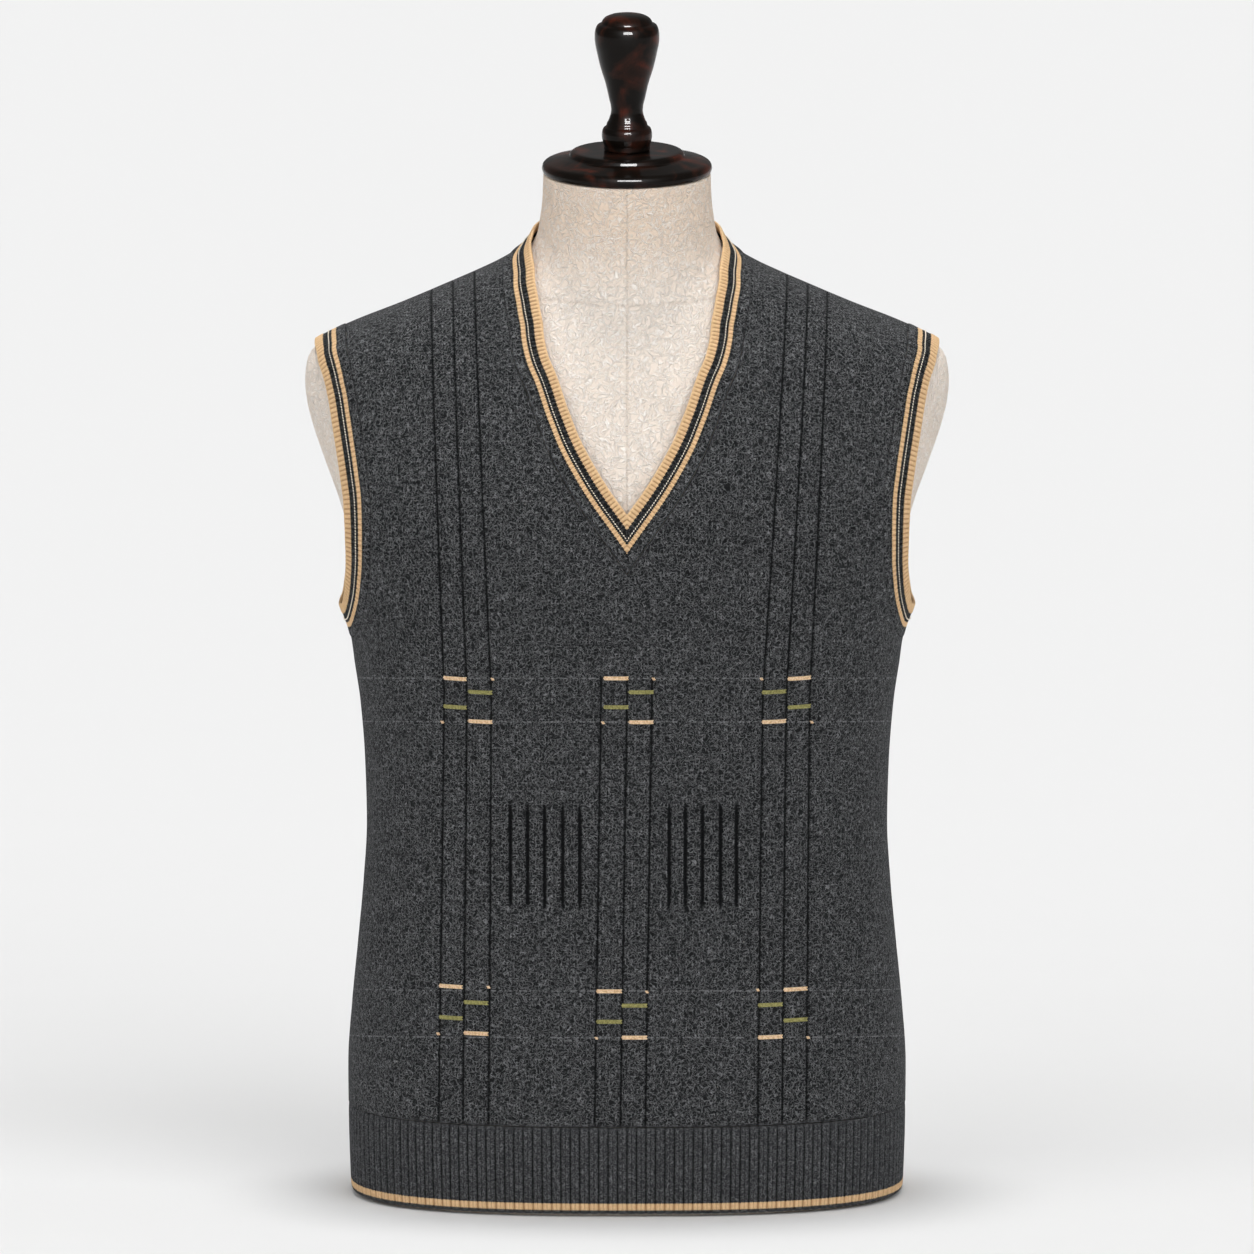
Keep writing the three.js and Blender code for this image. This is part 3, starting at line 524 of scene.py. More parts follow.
# Front of the vest
# A fine-gauge knitted panel of charcoal lambswool, felted a little in finishing. Fine
# purl lines run down it, and two groups of five short ones, sunk between the wales.
VEST = table(
    "z side front back mid square",
    (0, 182.6, 115, 104, 0, 2.65),
    (45, 184.1, 115, 103.5, 0, 2.6),
    (85, 184.5, 113.5, 101, 0, 2.5),
    (126, 181.8, 110.5, 96, 0, 2.45),
    (166, 177.9, 107.5, 91, 0, 2.4),
    (206, 174.2, 106, 87.5, 0, 2.4),
    (246, 171.9, 106.5, 87, 0, 2.4),
    (286, 172.9, 109.5, 91, 0, 2.4),
    (326, 175.9, 114, 98, 0, 2.35),
    (353, 179.8, 117, 103.5, 0, 2.3),
    (370, 182.2, 118.5, 107, 0, 2.3),
    (392, 189.5, 119.5, 110.5, 0, 2.3),
    (420, 199, 119.5, 113, 1, 2.3),
    (443, 206, 117.5, 114, 2, 2.3),
    (470, 211, 113, 113, 3, 2.25),
    (500, 213.5, 105.5, 109.5, 4, 2.15),
    (525, 215, 97, 104, 5, 2.05),
    (542, 215.8, 90.5, 98.5, 6, 2),
    (552, 214.6, 86, 94.5, 6, 2),
    (559, 211.8, 82.5, 91.2, 7, 2),
    (563.5, 208, 80.2, 89, 7, 2),
    (568, 201, 77.5, 87, 7, 2),
    (577, 182.2, 72.5, 82.3, 7, 2),
    (590.3, 148.5, 66, 76, 7, 2),
    (604, 116.2, 60.2, 71, 7, 2),
    (610.8, 100.5, 58, 69, 7, 2),
    (617.6, 86, 56.8, 67.2, 7, 2),
    (624, 75, 56.6, 65.5, 7, 2),
    (631.3, 66.6, 57.5, 63.5, 4.5, 2),
    (639, 62, 59.5, 61, 1, 2),
    (648, 60.6, 62.5, 57.5, -2, 2),
    (660, 59, 66, 53, -6, 2),
)
MEAN_RADIUS = 160
WALL, BAND_WALL, SEAM_GAP = 2.0, 1.9, 0.35
HEM_Z, RIB_TOP_Z = 2.0, 60.0
NECK_BAND, ARM_EDGE, ARM_ROOT = 22.5, 17.0, 6.5
ARM_LOW_Z, ARM_HIGH_Z = 377.0, 573.0
NECK_EDGE = table(
    "z x",
    (466.5, 0), (480, 9.9), (494, 19.1), (514, 30.4), (531, 37.6), (559, 48.2),
    (582.5, 54.8), (594, 56.8), (604, 58.7), (617, 60.7), (625, 62), (632, 63.4),
)
NECK_EDGE_BACK = table(
    "z half_turns", (639, 0.5), (643.5, 0.62), (647, 0.76), (649.5, 0.88), (650.5, 1)
)
ARM_LINE = table(
    "z x",
    (380, 181.6), (386, 179.6), (395.5, 177.3), (407, 175.3), (427, 173.6), (446, 173.4),
    (469.6, 173.9), (489, 176.2), (507, 178.9), (524, 181.6), (541, 184.6), (556, 188.2),
    (566.5, 190.6),
)
PATTERN_Z = (60.0, 345.0, 600.0)
PIN_LINES = table(
    "hem chest shoulder",
    (-124, -120, -129), (-108, -105, -114.5), (-91, -89, -100),
    (86, 89, 105), (102, 104.5, 119), (118, 120, 132),
)
CENTRE_LINES = table("hem chest shoulder", (-21.3, -17, -17), (-4.4, 0, 0), (12, 16.3, 16.3))
CENTRE_LINES_TOP_Z = 359.0
TALLY_X = {-1: (-31, -42.2, -54.1, -65.3, -76.6), 1: (27.7, 38.3, 49.5, 61.4, 71.9)}
TALLY_Z = (204.0, 273.0)
PIN_DEPTH, TALLY_DEPTH = 0.8, 1.2
PIN_SECTION = ((-1.3, -0.5, 0, 0.5, 1.3), (0, 0.6, 1, 0.6, 0))  # places across, share of depth
TALLY_SECTION = ((-1.7, -0.8, 0, 0.8, 1.7), (0, 0.65, 1, 0.65, 0))
COURSE_DROOP = 0.15  # courses sink towards the side seams, per mm that the front goes back

vest = skin(VEST)


def walk(turn, z, along, heading, distance):
    """Goes over the vest's skin for a distance, square to `along`, towards `heading`."""
    last = heading
    steps = max(1, math.ceil(np.max(np.abs(distance)) / 1.5))
    for _ in range(steps):
        round_it, up = slopes(vest, turn, z)
        d_turn = (up * along).sum(-1)
        d_z = -(round_it * along).sum(-1)
        move = round_it * d_turn[..., None] + up * d_z[..., None]
        scale = distance / steps / np.linalg.norm(move, axis=-1)
        scale = scale * np.sign((move * last).sum(-1))
        turn, z = turn + d_turn * scale, z + d_z * scale
        last = move * np.sign((move * last).sum(-1))[..., None]
    return turn, z


def line_through(turn, z, closed):
    """A centripetal curve on the skin, asked for by its share of length."""
    p = np.stack([turn * MEAN_RADIUS, z], -1)
    if closed:
        p = np.concatenate([p[-1:], p, p[:2]])
    else:
        p = np.concatenate([2 * p[:1] - p[1:2], p, 2 * p[-1:] - p[-2:-1]])
    a, b, c, d = p[:-3, None], p[1:-2, None], p[2:-1, None], p[3:, None]
    ends = ((a, b), (b, c), (c, d))
    gap = [np.linalg.norm(v - u, axis=-1, keepdims=True) ** 0.5 for u, v in ends]
    leave = ((b - a) / gap[0] - (c - a) / (gap[0] + gap[1]) + (c - b) / gap[1]) * gap[1]
    arrive = ((c - b) / gap[1] - (d - b) / (gap[1] + gap[2]) + (d - c) / gap[2]) * gap[1]
    t = np.linspace(0, 1, 161)[None, :-1, None]
    curve = (
        b + leave * t + (3 * (c - b) - 2 * leave - arrive) * t**2
        + (2 * (b - c) + leave + arrive) * t**3
    ).reshape(-1, 2)
    curve = np.concatenate([curve, p[-2:-1]])
    run = np.concatenate([[0], np.cumsum(np.linalg.norm(np.diff(curve, axis=0), axis=1))])
    run /= run[-1]

    def at(share):
        share = share - np.floor(share) if closed else share
        turn = np.interp(share, run, curve[:, 0]) / MEAN_RADIUS
        return turn, np.interp(share, run, curve[:, 1])

    return at


def frame_at(line, share, step=0.002):
    """Direction of a line on the skin, and the way off to its right-hand side."""
    along = unit(vest(*line(share + step)) - vest(*line(share - step)))
    turn, z = line(share)
    return turn, z, along, unit(np.cross(along, outward(vest, turn, z)))


def front_turn(places):
    return np.arcsin(np.minimum(1, places["x"] / vest.side(places["z"])))


half_neck = line_through(
    np.concatenate([front_turn(NECK_EDGE), NECK_EDGE_BACK["half_turns"] * math.pi]),
    np.concatenate([NECK_EDGE["z"], NECK_EDGE_BACK["z"]]),
    closed=False,
)


def neck_edge(share):
    """Free edge of the neckband, straight on past the point of the V and round the back."""
    turn, z = half_neck(np.clip(np.where(share > 1, 2 - share, share), 0, 1))
    turn = np.where(share > 1, 2 * math.pi - turn, turn)
    (foot, foot_z), (near, near_z) = half_neck(0.0), half_neck(0.02)
    past = np.minimum(share, 0) / 0.02
    return turn + (near - foot) * past, z + (near_z - foot_z) * past


def neck_offset(share, across):
    turn, z, along, off = frame_at(neck_edge, share)
    return walk(turn, z, along, off, across)


climb = front_turn(ARM_LINE)
arm_line = line_through(
    np.concatenate([[QUARTER], climb, [QUARTER], math.pi - climb[::-1]]),
    np.concatenate([[ARM_LOW_Z], ARM_LINE["z"], [ARM_HIGH_Z], ARM_LINE["z"][::-1]]),
    closed=True,
)


def arm_offset(share, to_panel):
    """A place outside the armhole line, towards the panel, or inside it where negative."""
    turn, z, along, off = frame_at(arm_line, share)
    return walk(turn, z, along, -off * np.sign(to_panel + 1e-9)[..., None], np.abs(to_panel))


def solve(low, high, above):
    """Halves a span of shares until it closes on the place where `above` turns true."""
    for _ in range(40):
        middle = (low + high) / 2
        low, high = (low, middle) if above(np.array([middle])) else (middle, high)
    return high


seam_across = np.array([NECK_BAND + SEAM_GAP / 2])
mitre_share = solve(-0.3, 0.2, lambda s: neck_offset(s, seam_across)[0][0] >= 0)
shoulder_share = solve(0.2, 0.9, lambda s: neck_offset(s, seam_across)[0][0] >= QUARTER)
low_z = float(arm_offset(np.array([0.0]), np.array([ARM_ROOT + SEAM_GAP / 2]))[1][0])

ROW_STEP = 3.0
LOWER_ROWS = int((low_z - RIB_TOP_Z) / ROW_STEP)
UPPER_ROWS = 84
FINE_COLUMNS, BACK_COLUMNS = 321, 84


def panel_rows(is_front):
    """Ends of a half panel's rows: at the centre or neck seam, and at the side or armhole."""
    lower = np.linspace(RIB_TOP_Z + SEAM_GAP / 2, low_z, LOWER_ROWS, endpoint=False)
    part = np.linspace(0, 1, UPPER_ROWS)
    arm_share = part / 2 if is_front else 1 - part / 2
    to_turn, to_z = arm_offset(arm_share, np.full(UPPER_ROWS, ARM_ROOT + SEAM_GAP / 2))
    split = 5 / 17 if is_front else 9 / 17  # share of the armhole passed at the neck's low point
    rising = np.clip((part - split) / (1 - split), 0, 1)
    first = mitre_share if is_front else 1.0
    neck_share = first + (shoulder_share - first) * rising
    from_turn, from_z = neck_offset(neck_share, np.full(UPPER_ROWS, seam_across[0]))
    foot = part < split
    from_z = np.where(foot, low_z + (from_z[0] - low_z) * part / split, from_z)
    middle = 0.0 if is_front else math.pi
    from_turn = np.where(part <= split, middle, from_turn)
    ends = np.full(LOWER_ROWS, 1.0)
    return (
        np.concatenate([ends * middle, from_turn]),
        np.concatenate([lower, from_z]),
        np.concatenate([ends * QUARTER, np.where(np.isin(part, (0, 1)), QUARTER, to_turn)]),
        np.concatenate([lower, to_z]),
    )


def line_x(line, z):
    hem, chest, shoulder = PATTERN_Z
    low = line["hem"] + (line["chest"] - line["hem"]) * (z - hem) / (chest - hem)
    high = line["chest"] + (line["shoulder"] - line["chest"]) * (z - chest) / (shoulder - chest)
    return np.where(z < chest, low, high)


def course_of(points):
    """Height of the course that a point of the front lies on, in mm at the centre front."""
    centre_y = vest(np.zeros(points.shape[:-1]), points[..., 2])[..., 1]
    return points[..., 2] + COURSE_DROOP * (points[..., 1] - centre_y)


# Soft creases, given one by one: from (x, z) to (x, z), their half width, and how far they
# stand out
FRONT_CREASES = table(
    "x0 z0 x1 z1 wide rise",
    (-168, 398, -128, 352, 9, 0.8),
    (-172, 372, -138, 318, 8, 0.55),
    (170, 404, 132, 362, 10, 0.9),
    (174, 376, 146, 334, 7, 0.5),
    (-150, 540, -96, 512, 13, 0.6),
    (146, 548, 100, 506, 12, 0.65),
    (-140, 118, -96, 84, 9, 0.5),
    (148, 128, 110, 78, 10, 0.6),
    (-60, 236, -20, 214, 14, 0.45),
    (34, 322, 78, 306, 12, 0.4),
)
def crease_rise(points, creases):
    """How far soft ridges stand out, each fading to its ends and sides."""
    rise = np.zeros(points.shape[:-1])
    place = np.stack([points[..., 0], points[..., 2]], -1)
    for i in range(len(creases["rise"])):
        start = np.array([creases["x0"][i], creases["z0"][i]])
        way = np.array([creases["x1"][i], creases["z1"][i]]) - start
        share = ((place - start) @ way) / (way @ way)
        near = start + np.clip(share, 0, 1)[..., None] * way
        aside = np.linalg.norm(place - near, axis=-1) / creases["wide"][i]
        fade = np.sin(np.pi * np.clip(share, 0.02, 0.98)) ** 0.7
        rise += creases["rise"][i] * fade * np.exp(-aside * aside * 1.6)
    return rise


def half_panel(side, creases, is_front):
    """Grid of one half of a panel, with its flat places and its sunk lines."""
    from_turn, from_z, to_turn, to_z = (end[:, None] for end in panel_rows(is_front))
    if is_front:
        centre = {key: values[1] for key, values in CENTRE_LINES.items()}
        joined = from_turn == 0
        meet = np.arcsin(line_x(centre, np.minimum(from_z, PATTERN_Z[1])) / vest.side(from_z))
        from_turn = np.where(joined, side * meet, from_turn)
    t = 1 - (1 - np.linspace(0, 1, FINE_COLUMNS)) ** 1.5  # closer at the side seam
    along_turn = from_turn + (to_turn - from_turn) * t
    along_z = from_z + (to_z - from_z) * t
    points = vest(along_turn, along_z)
    run = np.linalg.norm(np.diff(points, axis=1), axis=2).cumsum(1)
    run = np.concatenate([run[:, :1] * 0, run], 1)
    rows = len(points)
    if not is_front:
        even = np.linspace(0, 1, BACK_COLUMNS)
        stops = np.stack([np.interp(even, run[r] / run[r, -1], t) for r in range(rows)])
        sunk = np.zeros(stops.shape)
    else:
        stops, sunk = front_stops(side, points, run, t)
    turn = from_turn + (to_turn - from_turn) * stops
    z = from_z + (to_z - from_z) * stops
    grid = vest(turn, z)
    rise = crease_rise(grid * (side, 1, 1), creases)
    grid = grid + outward(vest, turn, z) * (rise - sunk)[..., None]
    ridge = np.abs(turn - QUARTER) < 1e-6
    grid[..., 1] += np.where(ridge, -SEAM_GAP / 2 if is_front else SEAM_GAP / 2, 0)
    across = np.stack([np.interp(stops[r], t, run[r]) for r in range(rows)])
    across += grid[:, :1, 0]
    course = course_of(grid) if is_front else z
    depth = np.clip(sunk / PIN_DEPTH, 0, 1.5)
    grid[..., 0] *= side
    flat = np.stack([side * across, course], -1)
    return grid, flat, {"sunk": depth}


def front_stops(side, points, run, t):
    """Shares of each row where its columns stand, close together at the sunk lines."""
    x, z = points[..., 0], points[..., 2]
    pin_offsets, pin_depths = PIN_SECTION
    order = [i for i in range(6) if np.sign(PIN_LINES["chest"][i]) == side]
    order.sort(key=lambda i: abs(PIN_LINES["chest"][i]))
    pins = [{k: side * v[i] for k, v in PIN_LINES.items()} for i in order]
    own = 2 if side > 0 else 0
    centre_line = {k: side * v[own] for k, v in CENTRE_LINES.items()}
    row_z = z[:, 0]
    inner_on = row_z <= CENTRE_LINES_TOP_Z + 1
    tally_on = smooth_step(row_z, TALLY_Z[0] - 3, TALLY_Z[0] + 5) * (
        1 - smooth_step(row_z, TALLY_Z[1] - 5, TALLY_Z[1] + 3)
    )

    t_rows = range(len(points))

    def share_at(gap_x, offset):
        return np.array([np.interp(offset, gap_x[r], t) for r in t_rows])

    first_pin = x - line_x(pins[0], z)
    inner_end = share_at(first_pin, pin_offsets[0] - 2.4)
    # Inside the first long line: the centre lines and the short lines
    wanted = [x[:, 0], x[:, 0] + 0.5, x[:, 0] + 1.3]
    depths = [np.where(inner_on, d * PIN_DEPTH, 0) for d in (1, 0.6, 0)]

    def fill(until, count):
        last = wanted[-1]
        for i in range(1, count + 1):
            wanted.append(last + (until - last) * i / (count + 1))
            depths.append(np.zeros(len(last)))

    line = line_x(centre_line, np.minimum(row_z, PATTERN_Z[1]))
    fill(line + pin_offsets[0], 4)
    for offset, depth in zip(pin_offsets, pin_depths):
        wanted.append(line + offset)
        depths.append(np.where(inner_on, depth * PIN_DEPTH, 0))
    for place in TALLY_X[side]:
        place = np.full(len(row_z), abs(float(place)))
        fill(place + TALLY_SECTION[0][0], 3)
        for offset, depth in zip(*TALLY_SECTION):
            wanted.append(place + offset)
            depths.append(depth * TALLY_DEPTH * tally_on)
    low_end = np.array([np.interp(inner_end[r], t, x[r]) for r in t_rows])
    fill(low_end, 3)
    inner = np.stack([
        [np.interp(w[r], x[r], t) for w in wanted] for r in t_rows
    ])
    even = inner_end[:, None] * np.linspace(0, 1, inner.shape[1] + 1)[:-1]
    mix = smooth_step(row_z, CENTRE_LINES_TOP_Z + 1, CENTRE_LINES_TOP_Z + 60)[:, None]
    inner = inner * (1 - mix) + even * mix
    columns, sunk = [inner], [np.stack(depths, -1)]
    nothing = np.zeros((len(points), 1))
    # The long lines, and the cloth between and beyond them
    last = inner_end
    for pin in pins:
        gap_x = x - line_x(pin, z)
        begin = share_at(gap_x, pin_offsets[0])
        for part in (0.0,) if pin is pins[0] else (0.25, 0.5, 0.75):
            columns.append((last + (begin - last) * part)[:, None])
            sunk.append(nothing)
        for offset, depth in zip(pin_offsets, pin_depths):
            columns.append(share_at(gap_x, offset)[:, None])
            sunk.append(nothing + depth * PIN_DEPTH)
        last = share_at(gap_x, pin_offsets[-1])
    start = np.array([np.interp(last[r], t, run[r]) for r in t_rows])
    for part in np.linspace(0, 1, 27)[1:]:
        goal = start + (run[:, -1] - start) * part
        columns.append(np.array([np.interp(goal[r], run[r], t) for r in t_rows])[:, None])
        sunk.append(nothing)
    return np.concatenate(columns, 1), np.concatenate(sunk, 1)


def thicken(made, thickness=WALL):
    """Gives a sheet its thickness, inwards."""
    solid = made.modifiers.new("thickness", "SOLIDIFY")
    solid.thickness, solid.offset, solid.use_even_offset = thickness * MM, -1, False
    return settle(made)


# Charcoal lambswool, knitted fine and felted: quite matt, dark, full of paler curling
# fibres that lie every way, with the wales just showing through
WOOL_DARK, WOOL_MID, WOOL_PALE, WOOL_SPECK = "191A1B", "262728", "828385", "A5A29B"
# Painted shade for the sunk lines, the hollows between stitches and the rib grooves
RECESS_SHADE = "0C0D0E"
FIBRE_STEP, FIBRE_WIDTH = 3.6 * MM, 0.17 * MM  # of the curls; wider than real hairs, to show
WOOL_MOTTLE = 3.5 * MM  # size of darker and paler places
SPECK_STEP, SPECK_PATCH = 4.76 * MM, 11.1 * MM  # between rare pale specks, and their groups
EDGE_FUZZ = 1.43 * MM  # of the hairs that lie over a sunk line's edge
FELT_RELIEF, RIB_RELIEF = 0.35 * MM, 0.3 * MM  # of stitches and fibres
WALE, COURSE = 2.1 * MM, 1.8 * MM  # coarser than the real knit, so that it shows
COURSE_LINES = (358.8, 329.3, 149.9, 119.2)  # heights of four purl courses
COURSE_LINE_WIDTH = 0.5


def charcoal_yarn(tree, here):
    """Colour and relief of heathered wool: two nodes, the colour's and the fibres'."""
    patch = node(tree, "ShaderNodeTexNoise", {"Scale": 1 / WOOL_MOTTLE, "Detail": 3.0,
                                              "Roughness": 0.6, "Vector": (here, "Object")})
    shade = node(tree, "ShaderNodeMapRange",
                 {"From Min": 0.35, "From Max": 0.65, "Value": (patch, "Fac")})
    colour = node(tree, "ShaderNodeMix", {0: shade, 6: linear(WOOL_DARK), 7: linear(WOOL_MID)},
                  data_type="RGBA")
    fibres = curls(tree, here, FIBRE_STEP, FIBRE_WIDTH, ((1.0, 1.0), (0.76, 0.85), (0.56, 0.6)))
    colour = node(tree, "ShaderNodeMix", {0: fibres, 6: (colour, 2), 7: linear(WOOL_PALE)},
                  data_type="RGBA")
    speck = node(tree, "ShaderNodeTexVoronoi",
                 {"Scale": 1 / SPECK_STEP, "Vector": (here, "Object")})
    speck = node(tree, "ShaderNodeMapRange", {"From Min": 0.05, "From Max": 0.12, "To Min": 0.7,
                                              "To Max": 0.0, "Value": (speck, "Distance")})
    rare = node(tree, "ShaderNodeTexNoise", {"Scale": 1 / SPECK_PATCH, "Vector": (here, "Object")})
    rare = node(tree, "ShaderNodeMapRange",
                {"From Min": 0.6, "From Max": 0.66, "Value": (rare, "Fac")})
    speck = node(tree, "ShaderNodeMath", {0: speck, 1: rare}, operation="MULTIPLY")
    colour = node(tree, "ShaderNodeMix", {0: speck, 6: (colour, 2), 7: linear(WOOL_SPECK)},
                  data_type="RGBA")
    return colour, fibres


def stitches(tree, here, wale=WALE, course=COURSE):
    """Height of knit stitches on the cloth's own map: pairs of leaning loops."""
    parts = node(tree, "ShaderNodeSeparateXYZ", {0: (here, "UV")})
    side = node(tree, "ShaderNodeMath", {0: (parts, "X"), 1: wale}, operation="DIVIDE")
    side = node(tree, "ShaderNodeMath", {0: side, 1: 0.5}, operation="PINGPONG")
    lean = node(tree, "ShaderNodeMath", {0: side, 1: 1.3}, operation="MULTIPLY")
    climb = node(tree, "ShaderNodeMath", {0: (parts, "Y"), 1: course}, operation="DIVIDE")
    climb = node(tree, "ShaderNodeMath", {0: climb, 1: lean}, operation="ADD")
    climb = node(tree, "ShaderNodeMath", {0: climb, 1: 0.5}, operation="PINGPONG")
    return node(tree, "ShaderNodeMath", {0: side, 1: climb}, operation="MULTIPLY")


def wool_shader(tree, colour, height, strength, distance):
    """Fuzzy, quite matt wool with its relief."""
    bump = node(tree, "ShaderNodeBump",
                {"Strength": strength, "Distance": distance, "Height": height})
    shader = node(tree, "ShaderNodeBsdfPrincipled", {"Roughness": 0.94, "Specular IOR Level": 0.0,
                                                     "Sheen Weight": 0.15, "Sheen Roughness": 0.5,
                                                     "Sheen Tint": linear("C9CACC"),
                                                     "Base Color": colour,
                                                     "Normal": (bump, "Normal")})
    node(tree, "ShaderNodeOutputMaterial", {"Surface": (shader, "BSDF")})


def body_knit(name, course_lines=()):
    """The panels' cloth: its sunk lines and the hollows between its stitches are painted dark as
    shade, and purl courses show as dotted lines.
    """
    material, tree = new_material(name, WOOL_MID)
    here = node(tree, "ShaderNodeTexCoord")
    colour, fibres = charcoal_yarn(tree, here)
    if course_lines:
        parts = node(tree, "ShaderNodeSeparateXYZ", {0: (here, "UV")})
        broken = node(tree, "ShaderNodeTexNoise",
                      {"Scale": 1 / WALE, "Detail": 1.0, "Vector": (here, "Object")})
        broken = node(tree, "ShaderNodeMapRange", {"From Min": 0.47, "From Max": 0.57,
                                                   "To Max": 0.7, "Value": (broken, "Fac")})
        for z in course_lines:
            aside = node(tree, "ShaderNodeMath", {0: (parts, "Y"), 1: z * MM}, operation="SUBTRACT")
            aside = node(tree, "ShaderNodeMath", {0: aside}, operation="ABSOLUTE")
            on = node(tree, "ShaderNodeMath", {0: aside, 1: COURSE_LINE_WIDTH * MM},
                      operation="LESS_THAN")
            on = node(tree, "ShaderNodeMath", {0: on, 1: broken}, operation="MULTIPLY")
            colour = node(tree, "ShaderNodeMix", {0: on, 6: (colour, 2), 7: linear(WOOL_PALE)},
                          data_type="RGBA")
    # The sunk lines are painted dark by their depth as shade, broken at their edges by noise
    sunk = node(tree, "ShaderNodeAttribute", attribute_name="sunk")
    rough_edge = node(tree, "ShaderNodeTexNoise",
                      {"Scale": 1 / EDGE_FUZZ, "Detail": 1.0, "Vector": (here, "Object")})
    sunk = node(tree, "ShaderNodeMath", {0: (sunk, "Fac"), 1: 2.4}, operation="MULTIPLY")
    sunk = node(tree, "ShaderNodeMath", {0: sunk, 1: (rough_edge, "Fac")}, operation="MULTIPLY")
    sunk = node(tree, "ShaderNodeMath", {0: sunk, 1: 0.96}, operation="MINIMUM")
    colour = node(tree, "ShaderNodeMix", {0: sunk, 6: (colour, 2), 7: linear(RECESS_SHADE)},
                  data_type="RGBA")
    loops = stitches(tree, here)
    # Painted shade in the hollows between the stitch loops
    between = node(tree, "ShaderNodeMapRange",
                   {"From Max": 0.1, "To Min": 0.35, "To Max": 0.0, "Value": loops})
    colour = node(tree, "ShaderNodeMix", {0: between, 6: (colour, 2), 7: linear(RECESS_SHADE)},
                  data_type="RGBA")
    height = node(tree, "ShaderNodeMath", {0: loops, 1: 1.4, 2: fibres}, operation="MULTIPLY_ADD")
    wool_shader(tree, (colour, 2), height, 0.55, FELT_RELIEF)
    return material


front_knit = body_knit("felted_lambswool_front", COURSE_LINES)
halves = [half_panel(side, FRONT_CREASES, is_front=True) for side in (1, -1)]
vest_front = place_piece(
    "vest_front", tidy_mesh(piece_mesh("vest_front", halves)), front_knit
)
thicken(vest_front)
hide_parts("front_panel")
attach(vest_front, "root")

# Dashes of contrast yarn
# Short lengths of cream and olive yarn laid in along a course, three strands to a dash.
# Each group is a block of two by two cells between the sunk lines, and there are six.
DASH_LENGTH, STRAND = 16.2, 0.85
YARN_LIFT = 0.35  # above the cloth
DIVE, SLIP = 0.95 * MM, 0.35 * MM  # how far a strand's ends go under, and how unevenly it lies
YARN_FLECK, TWIST_RELIEF = 1.11 * MM, 0.15 * MM
BLOCKS = (  # x of the middle line, heights of the four rows, and 1 if the top dash is left
    (-104.6, (358.6, 349.4, 339.4, 329.6), 1),
    (1.0, (358.8, 349.5, 339.4, 329.3), 1),
    (104.8, (358.8, 349.6, 339.6, 329.6), -1),
    (-107.6, (152.6, 142.0, 132.0, 121.8), 1),
    (-3.4, (149.6, 140.2, 129.6, 119.2), 1),
    (102.6, (150.8, 140.6, 130.6, 119.4), -1),
)


def on_course(x, course):
    """Turn and height of the place on the front at x that lies on a course."""
    z = course
    for _ in range(12):
        turn = np.arcsin(x / vest.side(np.array(z)))
        point = vest(turn, np.array(z))
        z = z + float(course - course_of(point[None])[0])
    return float(turn), z


def yarn_points(name, places):
    """Points on the front with the cloth's outward and sideways directions."""
    turn, z = (np.array(v) for v in zip(*(on_course(x, course) for x, course in places)))
    out = outward(vest, turn, z)
    aside = unit(np.stack([-out[:, 1], out[:, 0], 0 * out[:, 0]], -1))
    mesh = bpy.data.meshes.new(name)
    mesh.from_pydata((vest(turn, z) + out * YARN_LIFT) * MM, [], [])
    for key, values in (("out", out), ("aside", aside)):
        mark = mesh.attributes.new(key, "FLOAT_VECTOR", "POINT")
        mark.data.foreach_set("vector", values.ravel())
    return mesh


def new_tree(name, *inputs):
    """An empty geometry tree with named inputs after its geometry, each (name, type)."""
    tree = bpy.data.node_groups.new(name, "GeometryNodeTree")
    for label, kind in (("Geometry", "Geometry"), *inputs):
        tree.interface.new_socket(label, in_out="INPUT", socket_type="NodeSocket" + kind)
    tree.interface.new_socket("Geometry", in_out="OUTPUT", socket_type="NodeSocketGeometry")
    return tree, tree.nodes.new("NodeGroupInput")


def close_tree(tree, inputs, source, output="Geometry"):
    """Ends a tree: instances made real, and the yarn's or cloth's material set."""
    real = node(tree, "GeometryNodeRealizeInstances", {"Geometry": (source, output)})
    covered = node(tree, "GeometryNodeSetMaterial",
                   {"Geometry": (real, "Geometry"), "Material": (inputs, "Material")})
    node(tree, "NodeGroupOutput", {"Geometry": (covered, "Geometry")})


def run_tree(made, tree, **values):
    """Runs a tree on an object with its inputs set, and keeps the plain result."""
    modifier = made.modifiers.new(tree.name, "NODES")
    modifier.node_group = tree
    for item in tree.interface.items_tree:
        key = item.name.lower().replace(" ", "_")
        if item.in_out == "INPUT" and key in values:
            modifier[item.identifier] = values[key]
    return settle(made)


def facing(tree, source, output="Geometry"):
    """Rotation that lays X along `aside` and Z along `out`, both kept on the points."""
    aside, out = (
        node(tree, "GeometryNodeInputNamedAttribute", {"Name": key}, data_type="FLOAT_VECTOR")
        for key in ("aside", "out")
    )
    lying = node(tree, "FunctionNodeAlignRotationToVector", {"Vector": aside}, axis="X")
    return node(tree, "FunctionNodeAlignRotationToVector", {"Rotation": lying, "Vector": out},
                axis="Z", pivot_axis="X")


dash_tree, inputs = new_tree(
    "laid_yarn", ("Length", "Float"), ("Strand Width", "Float"), ("Strands", "Int"),
    ("Material", "Material"),
)
half = node(dash_tree, "ShaderNodeMath", {0: (inputs, "Length"), 1: 0.5}, operation="MULTIPLY")
start = node(dash_tree, "ShaderNodeMath", {0: (inputs, "Length"), 1: -0.5}, operation="MULTIPLY")
start = node(dash_tree, "ShaderNodeCombineXYZ", {"X": start})
end = node(dash_tree, "ShaderNodeCombineXYZ", {"X": half})
strand = node(dash_tree, "GeometryNodeCurvePrimitiveLine", {"Start": start, "End": end})
strand = node(dash_tree, "GeometryNodeResampleCurve", {"Count": 15, "Curve": strand})
part = node(dash_tree, "GeometryNodeSplineParameter")
part = node(dash_tree, "ShaderNodeMapRange",
            {"To Min": -1.0, "To Max": 1.0, "Value": (part, "Factor")})
